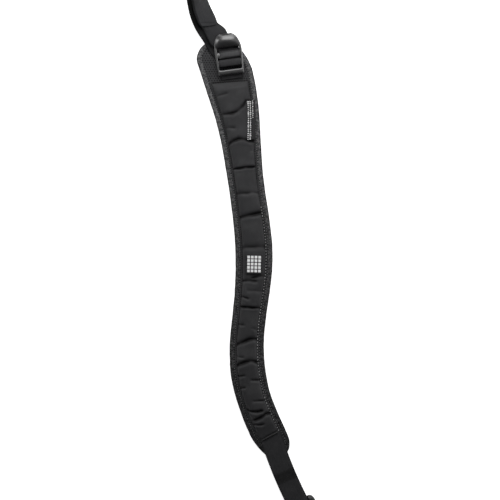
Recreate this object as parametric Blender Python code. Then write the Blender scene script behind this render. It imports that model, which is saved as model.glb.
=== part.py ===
"""Camera sling strap: a curved shoulder pad, a ladder lock and a loop of one-inch webbing.

The strap lies on a surface at Z = 0 and is seen from above: +X is to the right, +Y runs up
the pad towards the ladder lock, +Z away from the surface. The origin is under the middle of
the pad, on the face that rests on the shoulder. All sizes are in metres.
"""
import math

import bmesh
import bpy
from mathutils import Vector

# Gap that neighbouring pieces keep
GAP = 0.0003

# Pad
PAD_LONG = 0.502
PAD_WIDE = 0.060
PAD_THICK = 0.0060
PAD_STATIONS = 44

# Tape bound round the pad's edge
TAPE_THICK = 0.0008
TAPE_FACE = 0.0058

# Raised panel
PANEL_RISE = 0.0048
PANEL_FLANGE = 0.0022
PANEL_HEM_THICK = 0.0030
PANEL_SEAM_THICK = 0.0012
PANEL_STEP = 0.010
HEM_RAMP = 0.006
HEM_TOP_SLANT = -11.0
HEM_LOW_SLANT = 5.0
POCKET_DEEP = 0.014
# How far a cutting shape reaches past what it cuts
CUT_PAST = 0.003

# Webbing
WEB_WIDE = 0.0254
WEB_THICK = 0.0014
WEB_PLAY = 0.0004
BEND_RADIUS = 0.0011
UNDERLAP = 0.028
LOWER_RUN = 0.0828

# Ladder lock: where it sits on the pad, and its frame
LOCK_FROM_TIP = 0.0240
LOCK_ASIDE = 0.0078
LOCK_TURN = 9.4
LOCK_LONG = 0.0475
RAIL_WIDE = 0.0028
BAR_THICK = 0.0018
RAIL_HIGH = 0.0066
HOOD_RISE = 0.0032
ANCHOR_HEM = 0.0285

# The loop that goes round the wearer
LOOP_OUT = 0.308
LOOP_RUN = 0.500
# How far the loop's curves hold their direction at the lock, over the top of the straight
# run, under its lower end and at the buckle
LOOP_LEAVE = 0.098
LOOP_OVER = 0.124
LOOP_UNDER = 0.112
LOOP_MEET = 0.078
# Length over which the webbing turns between flat and on edge
TWIST_RUN = 0.105

# Lower buckle
BUCKLE_LONG = 0.062
BUCKLE_WIDE = 0.038
BUCKLE_THICK = 0.012
BUCKLE_BAR = 0.0034
BUCKLE_SLOT = 0.0050

# Label and badge
LABEL_WIDE = 0.0092
LABEL_LONG = 0.043
LABEL_THICK = 0.0007
LABEL_FROM_TIP = 0.0808
LABEL_ASIDE = 0.0190
LABEL_LEAN = 0.0070
BADGE_WIDE = 0.0200
BADGE_LONG = 0.0235
BADGE_THICK = 0.0013
BADGE_CORNER = 0.0022
BADGE_SHARE = 0.5330

# Pad outline: share of its length, heading in degrees (0 is straight down, + to the
# right), full width as a share of PAD_WIDE
PAD_SHAPE = [
    {"share": 0.00, "heading": 17.4, "wide": 1.000},
    {"share": 0.05, "heading": 16.9, "wide": 1.000},
    {"share": 0.10, "heading": 15.4, "wide": 0.978},
    {"share": 0.15, "heading": 12.7, "wide": 0.920},
    {"share": 0.20, "heading": 9.2, "wide": 0.839},
    {"share": 0.25, "heading": 7.0, "wide": 0.769},
    {"share": 0.30, "heading": 6.7, "wide": 0.721},
    {"share": 0.35, "heading": 7.8, "wide": 0.696},
    {"share": 0.40, "heading": 8.1, "wide": 0.698},
    {"share": 0.45, "heading": 6.2, "wide": 0.715},
    {"share": 0.50, "heading": 2.2, "wide": 0.725},
    {"share": 0.55, "heading": -2.7, "wide": 0.713},
    {"share": 0.60, "heading": -6.2, "wide": 0.681},
    {"share": 0.65, "heading": -7.0, "wide": 0.659},
    {"share": 0.70, "heading": -4.0, "wide": 0.661},
    {"share": 0.75, "heading": 2.3, "wide": 0.677},
    {"share": 0.80, "heading": 10.0, "wide": 0.681},
    {"share": 0.85, "heading": 17.8, "wide": 0.665},
    {"share": 0.90, "heading": 23.4, "wide": 0.675},
    {"share": 0.95, "heading": 23.6, "wide": 0.679},
    {"share": 1.00, "heading": 22.0, "wide": 0.677},
]

# Rounded ends of the outline: reach as a share of the width there, and how square it is
PAD_ENDS = {
    ("top", -1): {"reach": 0.39, "square": 2.2},
    ("top", 1): {"reach": 0.85, "square": 1.85},
    ("low", -1): {"reach": 1.06, "square": 1.85},
    ("low", 1): {"reach": 0.52, "square": 2.0},
}
END_STEPS = [0.010, 0.045, 0.11, 0.20, 0.32, 0.47, 0.66, 0.88]

# Where the panel's hems lie, as shares of the pad's length
PANEL_ENDS = {"top": 0.1036, "low": 0.9442}

# Cross folds of the panel: share of the pad's length, depth and half-length as shares of
# PANEL_RISE, the stretch of the half-width it crosses, and its slant in degrees
FOLDS = [
    {"share": 0.134, "deep": 0.16, "span": 0.8, "from": -1.0, "to": -0.1, "slant": -6},
    {"share": 0.179, "deep": 0.26, "span": 0.8, "from": -0.9, "to": 0.6, "slant": 8},
    {"share": 0.212, "deep": 0.16, "span": 0.8, "from": -1.0, "to": -0.3, "slant": 0},
    {"share": 0.244, "deep": 0.42, "span": 0.7, "from": -1.0, "to": 0.6, "slant": 4},
    {"share": 0.279, "deep": 0.36, "span": 0.6, "from": -1.0, "to": 1.0, "slant": 0},
    {"share": 0.318, "deep": 0.22, "span": 0.9, "from": -1.0, "to": 1.0, "slant": 0},
    {"share": 0.360, "deep": 0.20, "span": 0.9, "from": -1.0, "to": 0.4, "slant": 0},
    {"share": 0.421, "deep": 0.42, "span": 0.7, "from": -1.0, "to": 1.0, "slant": 6},
    {"share": 0.490, "deep": 0.26, "span": 0.6, "from": -1.0, "to": 1.0, "slant": 0},
    {"share": 0.575, "deep": 0.30, "span": 0.7, "from": -0.8, "to": 1.0, "slant": 6},
    {"share": 0.606, "deep": 0.24, "span": 0.6, "from": -1.0, "to": 0.3, "slant": 0},
    {"share": 0.635, "deep": 0.42, "span": 0.6, "from": -1.0, "to": 0.8, "slant": 0},
    {"share": 0.677, "deep": 0.20, "span": 0.7, "from": -1.0, "to": 1.0, "slant": -6},
    {"share": 0.715, "deep": 0.42, "span": 0.7, "from": -1.0, "to": 1.0, "slant": 9},
    {"share": 0.764, "deep": 0.42, "span": 0.7, "from": -1.0, "to": 1.0, "slant": 4},
    {"share": 0.808, "deep": 0.28, "span": 0.8, "from": -1.0, "to": 1.0, "slant": -6},
    {"share": 0.869, "deep": 0.42, "span": 0.7, "from": -1.0, "to": 1.0, "slant": 0},
    {"share": 0.896, "deep": 0.30, "span": 0.6, "from": -0.8, "to": 1.0, "slant": 0},
]

# Routes of the two webbing runs that leave the ladder lock, in webbing widths from the
# lock's middle: across, along towards the hood, lift of the middle above the pad's seat,
# roll in degrees with the left edge up
LOAD_ROUTE = [
    {"across": 0.00, "along": -0.46, "lift": 0.00, "roll": 0},
    {"across": -0.01, "along": -0.28, "lift": 0.00, "roll": 0},
    {"across": -0.17, "along": 0.06, "lift": 0.00, "roll": 0},
    {"across": -0.42, "along": 0.48, "lift": 0.00, "roll": 0},
    {"across": -0.63, "along": 0.95, "lift": 0.05, "roll": 9},
    {"across": -0.93, "along": 1.44, "lift": 0.14, "roll": 27},
    {"across": -1.12, "along": 1.89, "lift": 0.16, "roll": 40},
    {"across": -1.21, "along": 2.30, "lift": 0.17, "roll": 47},
    {"across": -1.27, "along": 2.76, "lift": 0.18, "roll": 53},
]
TAIL_ROUTE = [
    {"across": 0.00, "along": 0.215, "lift": 0.000, "roll": 0},
    {"across": -0.01, "along": 0.35, "lift": 0.005, "roll": 1},
    {"across": -0.16, "along": 0.60, "lift": 0.020, "roll": 2},
    {"across": -0.44, "along": 0.98, "lift": 0.085, "roll": 14},
    {"across": -0.72, "along": 1.37, "lift": 0.155, "roll": 36},
    {"across": -0.82, "along": 1.72, "lift": 0.175, "roll": 37},
    {"across": -0.95, "along": 2.20, "lift": 0.190, "roll": 42},
    {"across": -1.02, "along": 2.67, "lift": 0.195, "roll": 51},
    {"across": -1.04, "along": 3.02, "lift": 0.195, "roll": 54},
]
TAIL_HEM_ALONG = 1.27

# Lower webbing from the panel's hem to the lower buckle: share of its run, heading
LOWER_HEADING = [
    {"share": 0.0, "heading": 18.5},
    {"share": 0.5, "heading": 22.3},
    {"share": 1.0, "heading": 27.5},
]

# Outside of the ladder lock along its length: shares of LOCK_LONG from its middle, of its
# half-width, of its half-width that the middle moves aside, and of the height of rail and
# hood
LOCK_SECTIONS = [
    {"along": -0.484, "wide": 0.86, "aside": 0.00, "floor": 0.16, "rail": 0.86, "hood": 0.00},
    {"along": -0.470, "wide": 0.91, "aside": 0.00, "floor": 0.00, "rail": 0.95, "hood": 0.00},
    {"along": -0.360, "wide": 0.93, "aside": 0.00, "floor": 0.00, "rail": 1.00, "hood": 0.00},
    {"along": -0.100, "wide": 0.99, "aside": 0.00, "floor": 0.00, "rail": 1.00, "hood": 0.00},
    {"along": 0.165, "wide": 0.99, "aside": -0.01, "floor": 0.20, "rail": 1.00, "hood": 0.10},
    {"along": 0.230, "wide": 0.96, "aside": -0.02, "floor": 0.56, "rail": 1.00, "hood": 0.62},
    {"along": 0.300, "wide": 0.91, "aside": -0.03, "floor": 0.72, "rail": 1.00, "hood": 0.96},
    {"along": 0.380, "wide": 0.82, "aside": -0.04, "floor": 0.77, "rail": 1.02, "hood": 0.96},
    {"along": 0.450, "wide": 0.69, "aside": -0.05, "floor": 0.78, "rail": 1.02, "hood": 0.56},
    {"along": 0.495, "wide": 0.54, "aside": -0.06, "floor": 0.82, "rail": 1.02, "hood": 0.14},
    {"along": 0.512, "wide": 0.43, "aside": -0.06, "floor": 0.85, "rail": 0.98, "hood": 0.00},
]

# Bars across the lock's window: shares of LOCK_LONG from its middle
GRIP_BARS = [
    {"name": "lower_grip", "from": -0.255, "to": -0.133},
    {"name": "upper_grip", "from": -0.061, "to": 0.067},
]
ANCHOR_BAR = {"from": -0.474, "to": -0.411}
WINDOW = {"from": -0.366, "to": 0.179}

# Outside of the lower buckle along its length: shares of its length, half-width, thickness
BUCKLE_SECTIONS = [
    {"along": 0.000, "wide": 0.71, "thick": 0.42},
    {"along": 0.022, "wide": 0.82, "thick": 0.62},
    {"along": 0.090, "wide": 1.00, "thick": 0.82},
    {"along": 0.230, "wide": 1.00, "thick": 1.00},
    {"along": 0.380, "wide": 0.90, "thick": 1.00},
    {"along": 0.500, "wide": 0.86, "thick": 0.94},
    {"along": 0.620, "wide": 0.90, "thick": 1.00},
    {"along": 0.770, "wide": 1.00, "thick": 1.00},
    {"along": 0.910, "wide": 1.00, "thick": 0.82},
    {"along": 0.978, "wide": 0.82, "thick": 0.62},
    {"along": 1.000, "wide": 0.71, "thick": 0.42},
]

# Half profile of the panel: share of the half-width left inside the flange, height share
PANEL_PROFILE = [
    {"across": 1.00, "high": 0.42},
    {"across": 0.93, "high": 0.70},
    {"across": 0.80, "high": 0.88},
    {"across": 0.50, "high": 0.97},
    {"across": 0.00, "high": 1.00},
]

FINISHES = {
    "backing": {"color": (0.030, 0.030, 0.032), "rough": 0.95},
    "binding": {"color": (0.055, 0.055, 0.058), "rough": 0.85},
    "nylon": {"color": (0.040, 0.040, 0.044), "rough": 0.60},
    "webbing": {"color": (0.035, 0.035, 0.037), "rough": 0.80},
    "gloss": {"color": (0.012, 0.012, 0.013), "rough": 0.18},
    "matte": {"color": (0.020, 0.020, 0.021), "rough": 0.45},
    "woven": {"color": (0.018, 0.018, 0.020), "rough": 0.85},
    "rubber": {"color": (0.015, 0.015, 0.016), "rough": 0.55},
}


def between(table, share, column):
    """Read a column at any share, on a smooth curve through the table's rows."""
    last = len(table) - 1
    row = 0
    while row < last - 1 and share > table[row + 1]["share"]:
        row += 1
    low = table[row]
    high = table[row + 1]
    before = table[max(row - 1, 0)]
    after = table[min(row + 2, last)]
    step = high["share"] - low["share"]
    t = (share - low["share"]) / step
    slope_low = (high[column] - before[column]) / (high["share"] - before["share"]) * step
    slope_high = (after[column] - low[column]) / (after["share"] - low["share"]) * step
    return (
        (2 * t ** 3 - 3 * t ** 2 + 1) * low[column]
        + (t ** 3 - 2 * t ** 2 + t) * slope_low
        + (3 * t ** 2 - 2 * t ** 3) * high[column]
        + (t ** 3 - t ** 2) * slope_high
    )


def heading_vector(degrees):
    """Plan direction of a heading: 0 is straight down the page, + to the right."""
    angle = math.radians(degrees)
    return Vector((math.sin(angle), -math.cos(angle), 0))


def right_of(direction):
    """Plan direction square to a heading, on the side that is +X when it points down."""
    return Vector((-direction.y, direction.x, 0))


def walk(start, length, heading_at, steps=400):
    """Follow a heading from a start point; returns the points passed on the way."""
    points = [start.copy()]
    for step in range(steps):
        middle = heading_vector(heading_at((step + 0.5) / steps))
        points.append(points[-1] + middle * (length / steps))
    return points


def pad_heading(share):
    return between(PAD_SHAPE, min(max(share, 0), 1), "heading")


PAD_LINE = walk(Vector((0, 0, 0)), PAD_LONG, pad_heading)
PAD_MIDDLE = PAD_LINE[len(PAD_LINE) // 2].copy()


def pad_point(share, aside=0.0):
    """A point in plan on the pad's middle line, moved aside by a distance."""
    place = min(max(share, 0), 1) * (len(PAD_LINE) - 1)
    index = min(int(place), len(PAD_LINE) - 2)
    point = PAD_LINE[index].lerp(PAD_LINE[index + 1], place - index) - PAD_MIDDLE
    direction = heading_vector(pad_heading(share))
    point = point + direction * (share - min(max(share, 0), 1)) * PAD_LONG
    return point + right_of(direction) * aside


def pad_half(share, side):
    """Half-width of the pad at a share of its length, on the left (-1) or right (+1)."""
    half = between(PAD_SHAPE, share, "wide") * PAD_WIDE / 2
    for end, from_tip in (("top", share), ("low", 1 - share)):
        shape = PAD_ENDS[(end, side)]
        reach = shape["reach"] * 2 * half
        short = 1 - from_tip * PAD_LONG / reach
        if short > 0:
            half *= (1 - short ** shape["square"]) ** (1 / shape["square"])
    return half


def pad_shares():
    """Stations down the pad, close together where the ends are rounded."""
    near = PAD_WIDE * 0.8 / PAD_LONG
    ends = [near * step for step in END_STEPS]
    middle = [near + (1 - 2 * near) * i / PAD_STATIONS for i in range(PAD_STATIONS + 1)]
    return ends + middle + [1 - share for share in reversed(ends)]


def pad_ring():
    """The pad's outline in plan: top tip, left side down, bottom tip, right side up."""
    shares = pad_shares()
    left = [pad_point(share, -pad_half(share, -1)) for share in shares]
    right = [pad_point(share, pad_half(share, 1)) for share in shares]
    return [pad_point(0)] + left + [pad_point(1)] + right[::-1]


def inset(ring, distance, height):
    """A ring moved inwards by a distance, at a height."""
    moved = []
    count = len(ring)
    for index, point in enumerate(ring):
        ahead = (ring[(index + 1) % count] - point).normalized()
        behind = (point - ring[index - 1]).normalized()
        along = (ahead + behind).normalized()
        inward = Vector((-along.y, along.x, 0))
        moved.append(point + inward * distance + Vector((0, 0, height)))
    return moved


def finish(name, bm, look):
    """Close a mesh, turn its faces outwards, give it its material and link it."""
    bmesh.ops.recalc_face_normals(bm, faces=bm.faces)
    mesh = bpy.data.meshes.new(name)
    bm.to_mesh(mesh)
    bm.free()
    mesh.shade_smooth()
    mesh.set_sharp_from_angle(angle=math.radians(35))
    thing = bpy.data.objects.new(name, mesh)
    bpy.context.scene.collection.objects.link(thing)
    material = bpy.data.materials.new(name)
    material.use_nodes = True
    shader = material.node_tree.nodes["Principled BSDF"]
    shader.inputs["Base Color"].default_value = (*FINISHES[look]["color"], 1)
    shader.inputs["Roughness"].default_value = FINISHES[look]["rough"]
    shader.inputs["Metallic"].default_value = 0
    mesh.materials.append(material)
    return thing


def add_rings(bm, rings, around):
    """Join rings of points side by side; around also joins the last to the first."""
    rows = [[bm.verts.new(point) for point in ring] for ring in rings]
    count = len(rows[0])
    pairs = len(rows) if around else len(rows) - 1
    for row in range(pairs):
        low = rows[row]
        high = rows[(row + 1) % len(rows)]
        for index in range(count):
            ahead = (index + 1) % count
            bm.faces.new((low[index], low[ahead], high[ahead], high[index]))
    return rows


def cap_across(bm, ring):
    """Close a ring whose two sides mirror each other, station by station."""
    count = len(ring)
    half = count // 2
    bm.faces.new((ring[0], ring[1], ring[-1]))
    for index in range(1, half - 1):
        bm.faces.new((ring[index], ring[index + 1], ring[count - index - 1], ring[count - index]))
    bm.faces.new((ring[half - 1], ring[half], ring[half + 1]))


def loft(name, sections, look):
    """A closed solid through sections of equal count, with flat ends."""
    bm = bmesh.new()
    rows = add_rings(bm, sections, around=False)
    bm.faces.new(rows[0])
    bm.faces.new(rows[-1])
    return finish(name, bm, look)


def cut(thing, cutters, operation="DIFFERENCE"):
    """Cut shapes out of a piece, or join them to it, in one go each."""
    for cutter in cutters:
        cutter.hide_render = True
        cutter.display_type = "WIRE"
        change = thing.modifiers.new(cutter.name, "BOOLEAN")
        change.operation = operation
        change.solver = "EXACT"
        change.object = cutter
    return thing


class Seat:
    """A local frame in plan: across to the right, along, and up."""

    def __init__(self, middle, along):
        self.middle = middle
        self.along = along
        self.across = Vector((along.y, -along.x, 0))

    def at(self, across, along, height):
        point = self.middle + self.across * across + self.along * along
        return Vector((point.x, point.y, height))

    def block(self, name, across, along, height):
        """A plain block, each size given as its low and high end."""
        sections = []
        for place in along:
            sections.append([
                self.at(across[0], place, height[0]),
                self.at(across[1], place, height[0]),
                self.at(across[1], place, height[1]),
                self.at(across[0], place, height[1]),
            ])
        return loft(name, sections, "matte")

    def rod(self, name, half_wide, along, height, corner):
        """A bar across the frame with rounded long edges."""
        low, high = along
        floor, top = height
        outline = [
            (low + corner, floor), (high - corner, floor), (high, floor + corner),
            (high, top - corner), (high - corner, top), (low + corner, top),
            (low, top - corner), (low, floor + corner),
        ]
        sections = [
            [self.at(across, place, level) for place, level in outline]
            for across in (-half_wide, half_wide)
        ]
        return loft(name, sections, "gloss")


# Heights over the pad's top cloth
SEAT_HIGH = PAD_THICK + GAP + WEB_THICK / 2
TAIL_HIGH = SEAT_HIGH + WEB_THICK + 1.7 * GAP
LOCK_FLOOR = PAD_THICK + WEB_THICK + 2 * GAP
ANCHOR_TOP = LOCK_FLOOR + BAR_THICK
LIP_FLOOR = ANCHOR_TOP + WEB_THICK + 2 * GAP
GRIP_TOP = LOCK_FLOOR + RAIL_HIGH - WEB_THICK - 2 * GAP
GRIP_FLOOR = GRIP_TOP - BAR_THICK
TAIL_ROOF = TAIL_HIGH + WEB_THICK / 2 + 6 * GAP
PANEL_FLOOR = PAD_THICK + GAP

LOCK_DOWN = heading_vector(pad_heading(LOCK_FROM_TIP / PAD_LONG) - LOCK_TURN)
LOCK = Seat(pad_point(LOCK_FROM_TIP / PAD_LONG, LOCK_ASIDE), -LOCK_DOWN)
LOCK_OPEN = WEB_WIDE / 2 + WEB_PLAY
LOCK_HALF = LOCK_OPEN + RAIL_WIDE


def pad_base():
    """Foam pad: flat below, its edge pinched to fit inside the folded tape."""
    ring = pad_ring()
    inner = TAPE_FACE + GAP
    edge = TAPE_THICK + 1.5 * GAP
    steps = [
        (inner, 0),
        (inner, TAPE_THICK + GAP),
        (edge + GAP, TAPE_THICK + GAP),
        (edge, TAPE_THICK + 3 * GAP),
        (edge, PAD_THICK * 0.66),
        (inner, PAD_THICK - TAPE_THICK - GAP),
        (inner, PAD_THICK),
    ]
    bm = bmesh.new()
    rows = add_rings(bm, [inset(ring, *step) for step in steps], around=False)
    cap_across(bm, rows[0])
    cap_across(bm, rows[-1])
    return finish("pad_base", bm, "backing")


def edge_binding():
    """Tape folded over the pad's edge, one closed band round the whole outline."""
    ring = pad_ring()
    profile = [
        (TAPE_FACE, 0),
        (TAPE_THICK, 0),
        (0, TAPE_THICK * 1.6),
        (0, PAD_THICK * 0.70),
        (TAPE_THICK * 1.2, PAD_THICK * 0.94),
        (TAPE_FACE, PAD_THICK),
        (TAPE_FACE, PAD_THICK - TAPE_THICK),
        (TAPE_THICK, PAD_THICK * 0.66 + GAP * 1.5),
        (TAPE_THICK, TAPE_THICK),
        (TAPE_FACE, TAPE_THICK),
    ]
    bm = bmesh.new()
    add_rings(bm, [inset(ring, *step) for step in profile], around=True)
    return finish("edge_binding", bm, "binding")


def fold_depth(fold, across):
    """How far a fold sinks the panel at a place across it, as a share of the rise."""
    inside = min(across - fold["from"], fold["to"] - across)
    return fold["deep"] * min(max(inside / 0.4 + 0.35, 0), 1)


def panel_rows():
    """Rows of the panel: share down the pad, slant, depth by place across, thickness."""
    def none(across):
        return 0

    rows = [
        {"share": PANEL_ENDS["top"], "slant": HEM_TOP_SLANT, "sink": none, "rise": 0.0},
        {
            "share": PANEL_ENDS["top"] + HEM_RAMP / PAD_LONG,
            "slant": HEM_TOP_SLANT,
            "sink": none,
            "rise": 0.1,
        },
    ]
    for fold in FOLDS:
        half_span = fold["span"] * PANEL_RISE / PAD_LONG
        for step, strength in ((-1, 0.0), (0, 1.0), (1, 0.0)):
            def sink(across, fold=fold, strength=strength):
                return strength * fold_depth(fold, across)

            rows.append({
                "share": fold["share"] + step * half_span,
                "slant": fold["slant"],
                "sink": sink,
                "rise": 1.0,
            })
    rows += [
        {
            "share": PANEL_ENDS["low"] - HEM_RAMP / PAD_LONG,
            "slant": HEM_LOW_SLANT,
            "sink": none,
            "rise": 0.1,
        },
        {"share": PANEL_ENDS["low"], "slant": HEM_LOW_SLANT, "sink": none, "rise": 0.0},
    ]
    filled = [rows[0]]
    for row in rows[1:]:
        space = row["share"] - filled[-1]["share"]
        extra = int(space * PAD_LONG / PANEL_STEP)
        previous = filled[-1]
        for step in range(extra):
            part = (step + 1) / (extra + 1)
            filled.append({
                "share": previous["share"] + space * part,
                "slant": previous["slant"] + (row["slant"] - previous["slant"]) * part,
                "sink": none,
                "rise": 1.0,
            })
        filled.append(row)
    return filled


def panel_half(share, side):
    """Half-width of the panel on one side: what the tape leaves of the pad."""
    return pad_half(share, side) - TAPE_FACE - 2 * GAP


def panel_height(share_across, rise, sink):
    """Height of the panel's top above its own underside."""
    place = abs(share_across)
    outer = PANEL_PROFILE[0]
    for inner in PANEL_PROFILE[1:]:
        if place >= inner["across"]:
            break
        outer = inner
    width = outer["across"] - inner["across"]
    part = (place - inner["across"]) / width if width else 0
    high = inner["high"] + (outer["high"] - inner["high"]) * part
    low_part = PANEL_HEM_THICK * (1 - 0.45 * place ** 4)
    return max(high * PANEL_RISE * rise * (1 - sink), low_part)


def centre_panel():
    """Raised nylon panel with its cross folds, hemmed at both ends."""
    shares = [-row["across"] for row in PANEL_PROFILE]
    shares += [row["across"] for row in PANEL_PROFILE[-2::-1]]
    sections = []
    for row in panel_rows():
        slope = math.tan(math.radians(row["slant"])) / PAD_LONG

        def place(aside, high, row=row, slope=slope):
            point = pad_point(row["share"] - aside * slope, aside)
            return point + Vector((0, 0, PANEL_FLOOR + high))

        halves = {}
        for side in (-1, 1):
            about = side * panel_half(row["share"], side)
            halves[side] = panel_half(row["share"] - about * slope, side)
        points = [place(-halves[-1], 0), place(-halves[-1], PANEL_SEAM_THICK)]
        for across in shares:
            puff = halves[1 if across > 0 else -1] - PANEL_FLANGE
            high = panel_height(across, row["rise"], row["sink"](across))
            points.append(place(across * puff, high))
        points += [place(halves[1], PANEL_SEAM_THICK), place(halves[1], 0)]
        sections.append(points)
    panel = loft("centre_panel", sections, "nylon")
    clear = WEB_WIDE / 2 + 2 * GAP
    roof = PAD_THICK + WEB_THICK + 2 * GAP
    anchor_pocket = LOCK.block(
        "anchor_pocket", (-clear, clear),
        (-LOCK_LONG, -LOCK_LONG / 2), (PAD_THICK - CUT_PAST, roof))
    web = Seat(lower_start(), -heading_vector(LOWER_HEADING[0]["heading"]))
    lower_pocket = web.block(
        "lower_pocket", (-clear, clear),
        (-POCKET_DEEP, POCKET_DEEP + 2 * GAP), (PAD_THICK - CUT_PAST, roof))
    return cut(panel, [anchor_pocket, lower_pocket])


def strip(name, stops):
    """Webbing through stops: middle, direction across it, height of its front face.

    Both faces of a stretch are split along the same diagonal, so that a twist stays thin
    without its two sides crossing.
    """
    sections = []
    last = len(stops) - 1
    for index, stop in enumerate(stops):
        ahead = stops[min(index + 1, last)]["middle"] - stop["middle"]
        behind = stop["middle"] - stops[max(index - 1, 0)]["middle"]
        if index == 0:
            behind = ahead
        if index == last:
            ahead = behind
        ahead.normalize()
        behind.normalize()
        along = (ahead + behind).normalized()
        across = stop["across"].normalized()
        face = along.cross(across).normalized()
        stretch = 1 / max(along.dot(ahead), 0.7)
        half = across * (WEB_WIDE / 2)
        upper = face * (stop.get("front", WEB_THICK / 2) * stretch)
        under = face * (-WEB_THICK / 2 * stretch)
        middle = stop["middle"]
        sections.append([
            middle - half + upper,
            middle + half + upper,
            middle + half + under,
            middle - half + under,
        ])
    bm = bmesh.new()
    rows = [[bm.verts.new(point) for point in section] for section in sections]
    for low, high in zip(rows, rows[1:]):
        for side, turn in ((0, 0), (1, 0), (2, 1), (3, 0)):
            quad = [low[side], low[side - 3], high[side - 3], high[side]]
            quad = quad[turn:] + quad[:turn]
            bm.faces.new((quad[0], quad[1], quad[2]))
            bm.faces.new((quad[0], quad[2], quad[3]))
    bm.faces.new(rows[0])
    bm.faces.new(rows[-1])
    return finish(name, bm, "webbing")


def smooth_route(rows, columns, steps):
    """Points on a smooth curve through a route's rows."""
    keyed = []
    travelled = 0.0
    for index, row in enumerate(rows):
        if index:
            before = rows[index - 1]
            travelled += math.dist(
                [row[c] for c in columns[:2]], [before[c] for c in columns[:2]])
        keyed.append({"share": travelled, **row})
    return [
        {c: between(keyed, travelled * step / steps, c) for c in columns}
        for step in range(steps + 1)
    ]


def rolled(point, direction, roll):
    """A stop of webbing that travels in a plan direction, left edge rolled up."""
    angle = math.radians(roll)
    right = Vector((direction.y, -direction.x, 0)).normalized()
    return {"middle": point, "across": right * math.cos(angle) - Vector((0, 0, math.sin(angle)))}


def route_stops(rows, ground, steps):
    """Stops of a route that leaves the lock, from the lock outwards."""
    route = smooth_route(rows, ("across", "along", "lift", "roll"), steps)
    middles = [
        LOCK.at(r["across"] * WEB_WIDE, r["along"] * WEB_WIDE, ground + r["lift"] * WEB_WIDE)
        for r in route
    ]
    stops = []
    for index, (middle, row) in enumerate(zip(middles, route)):
        ahead = middles[min(index + 1, steps)] - middles[max(index - 1, 0)]
        if index == 0:
            ahead = LOCK.along
        stops.append(rolled(middle, ahead, row["roll"]))
    return stops


def bend(seat, corner, start, end, radius, steps=4):
    """Stops round a bend in the upright plane of a seat, about a corner (along, height)."""
    stops = []
    for step in range(steps + 1):
        angle = math.radians(start + (end - start) * step / steps)
        along = corner[0] + radius * math.cos(angle)
        height = corner[1] + radius * math.sin(angle)
        stops.append({"middle": seat.at(0, along, height), "across": seat.across})
    return stops


def flat_stop(seat, along, height):
    return {"middle": seat.at(0, along, height), "across": seat.across}


def lock_threading():
    """The webbing inside the lock: down from the tail's slot over both grip bars."""
    upper, lower = GRIP_BARS[1], GRIP_BARS[0]
    clear = GAP + WEB_THICK / 2
    top = GRIP_TOP + clear
    tail_face = upper["to"] * LOCK_LONG + clear
    load_face = lower["from"] * LOCK_LONG - clear
    radius = BEND_RADIUS
    stops = bend(LOCK, (tail_face + radius, TAIL_HIGH + radius), -90, -180, radius)
    stops += bend(LOCK, (tail_face - radius, top - radius), 0, 90, radius)
    dip = WEB_THICK * 0.55
    middle = (upper["from"] + lower["to"]) / 2 * LOCK_LONG
    stops.append(flat_stop(LOCK, upper["from"] * LOCK_LONG, top))
    stops.append(flat_stop(LOCK, middle, top - dip))
    stops.append(flat_stop(LOCK, lower["to"] * LOCK_LONG, top))
    stops += bend(LOCK, (load_face + radius, top - radius), 90, 180, radius)
    stops += bend(LOCK, (load_face + radius, SEAT_HIGH + radius), 180, 270, radius)
    return stops


def bezier(ends, handles, steps):
    """Plan points on one curve between two ends that leave along their handles."""
    (start, stop), (out, back) = ends, handles
    points = []
    for step in range(steps + 1):
        t = step / steps
        points.append(
            start * (1 - t) ** 3 + (start + out) * 3 * t * (1 - t) ** 2
            + (stop + back) * 3 * t ** 2 * (1 - t) + stop * t ** 3)
    return points


def lower_start():
    """Where the lower webbing comes out of the panel's lower hem, in plan."""
    return pad_point(PANEL_ENDS["low"], WEB_PLAY * 3)


def lower_heading(share):
    return between(LOWER_HEADING, share, "heading")


LOWER_LINE = walk(lower_start(), LOWER_RUN, lower_heading, steps=12)
BUCKLE_DOWN = heading_vector(LOWER_HEADING[-1]["heading"])
BUCKLE = Seat(LOWER_LINE[-1], BUCKLE_DOWN)
BUCKLE_MID = BUCKLE_THICK / 2
BUCKLE_BAR_HALF = BUCKLE_THICK * 0.125
BUCKLE_TOP_WEB = BUCKLE_MID + BUCKLE_BAR_HALF + GAP + WEB_THICK / 2
BUCKLE_LOW_WEB = BUCKLE_MID - BUCKLE_BAR_HALF - GAP - WEB_THICK / 2
LAYER_DROP = WEB_THICK + 1.5 * GAP


def sewn_end(seat):
    """Webbing that goes over the buckle's end bar, down its slot and starts back."""
    edge = BUCKLE_BAR + GAP + WEB_THICK / 2
    radius = BEND_RADIUS
    stops = bend(seat, (edge - radius, BUCKLE_TOP_WEB - radius), 90, 0, radius)
    stops += bend(seat, (edge - radius, BUCKLE_LOW_WEB + radius), 0, -90, radius)
    stops.append(flat_stop(seat, -GAP * 4, BUCKLE_LOW_WEB))
    stops.append(flat_stop(seat, -WEB_THICK * 2.6, BUCKLE_TOP_WEB - LAYER_DROP))
    return stops


def follow_under(upper):
    """The underlap's last stretch, held one thickness below the layer above it."""
    stops = []
    travelled = 0.0
    previous = upper[-1]["middle"]
    for index in range(len(upper) - 2, 0, -1):
        stop = upper[index]
        step = (stop["middle"] - previous).length
        part = min((UNDERLAP - travelled) / step, 1)
        middle = previous.lerp(stop["middle"], part)
        travelled += step * part
        previous = stop["middle"]
        if travelled < WEB_THICK * 3:
            continue
        along = upper[index + 1]["middle"] - upper[index - 1]["middle"]
        under = along.cross(stop["across"]).normalized()
        stops.append({"middle": middle + under * LAYER_DROP, "across": stop["across"]})
        if part < 1:
            break
    return stops


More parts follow.
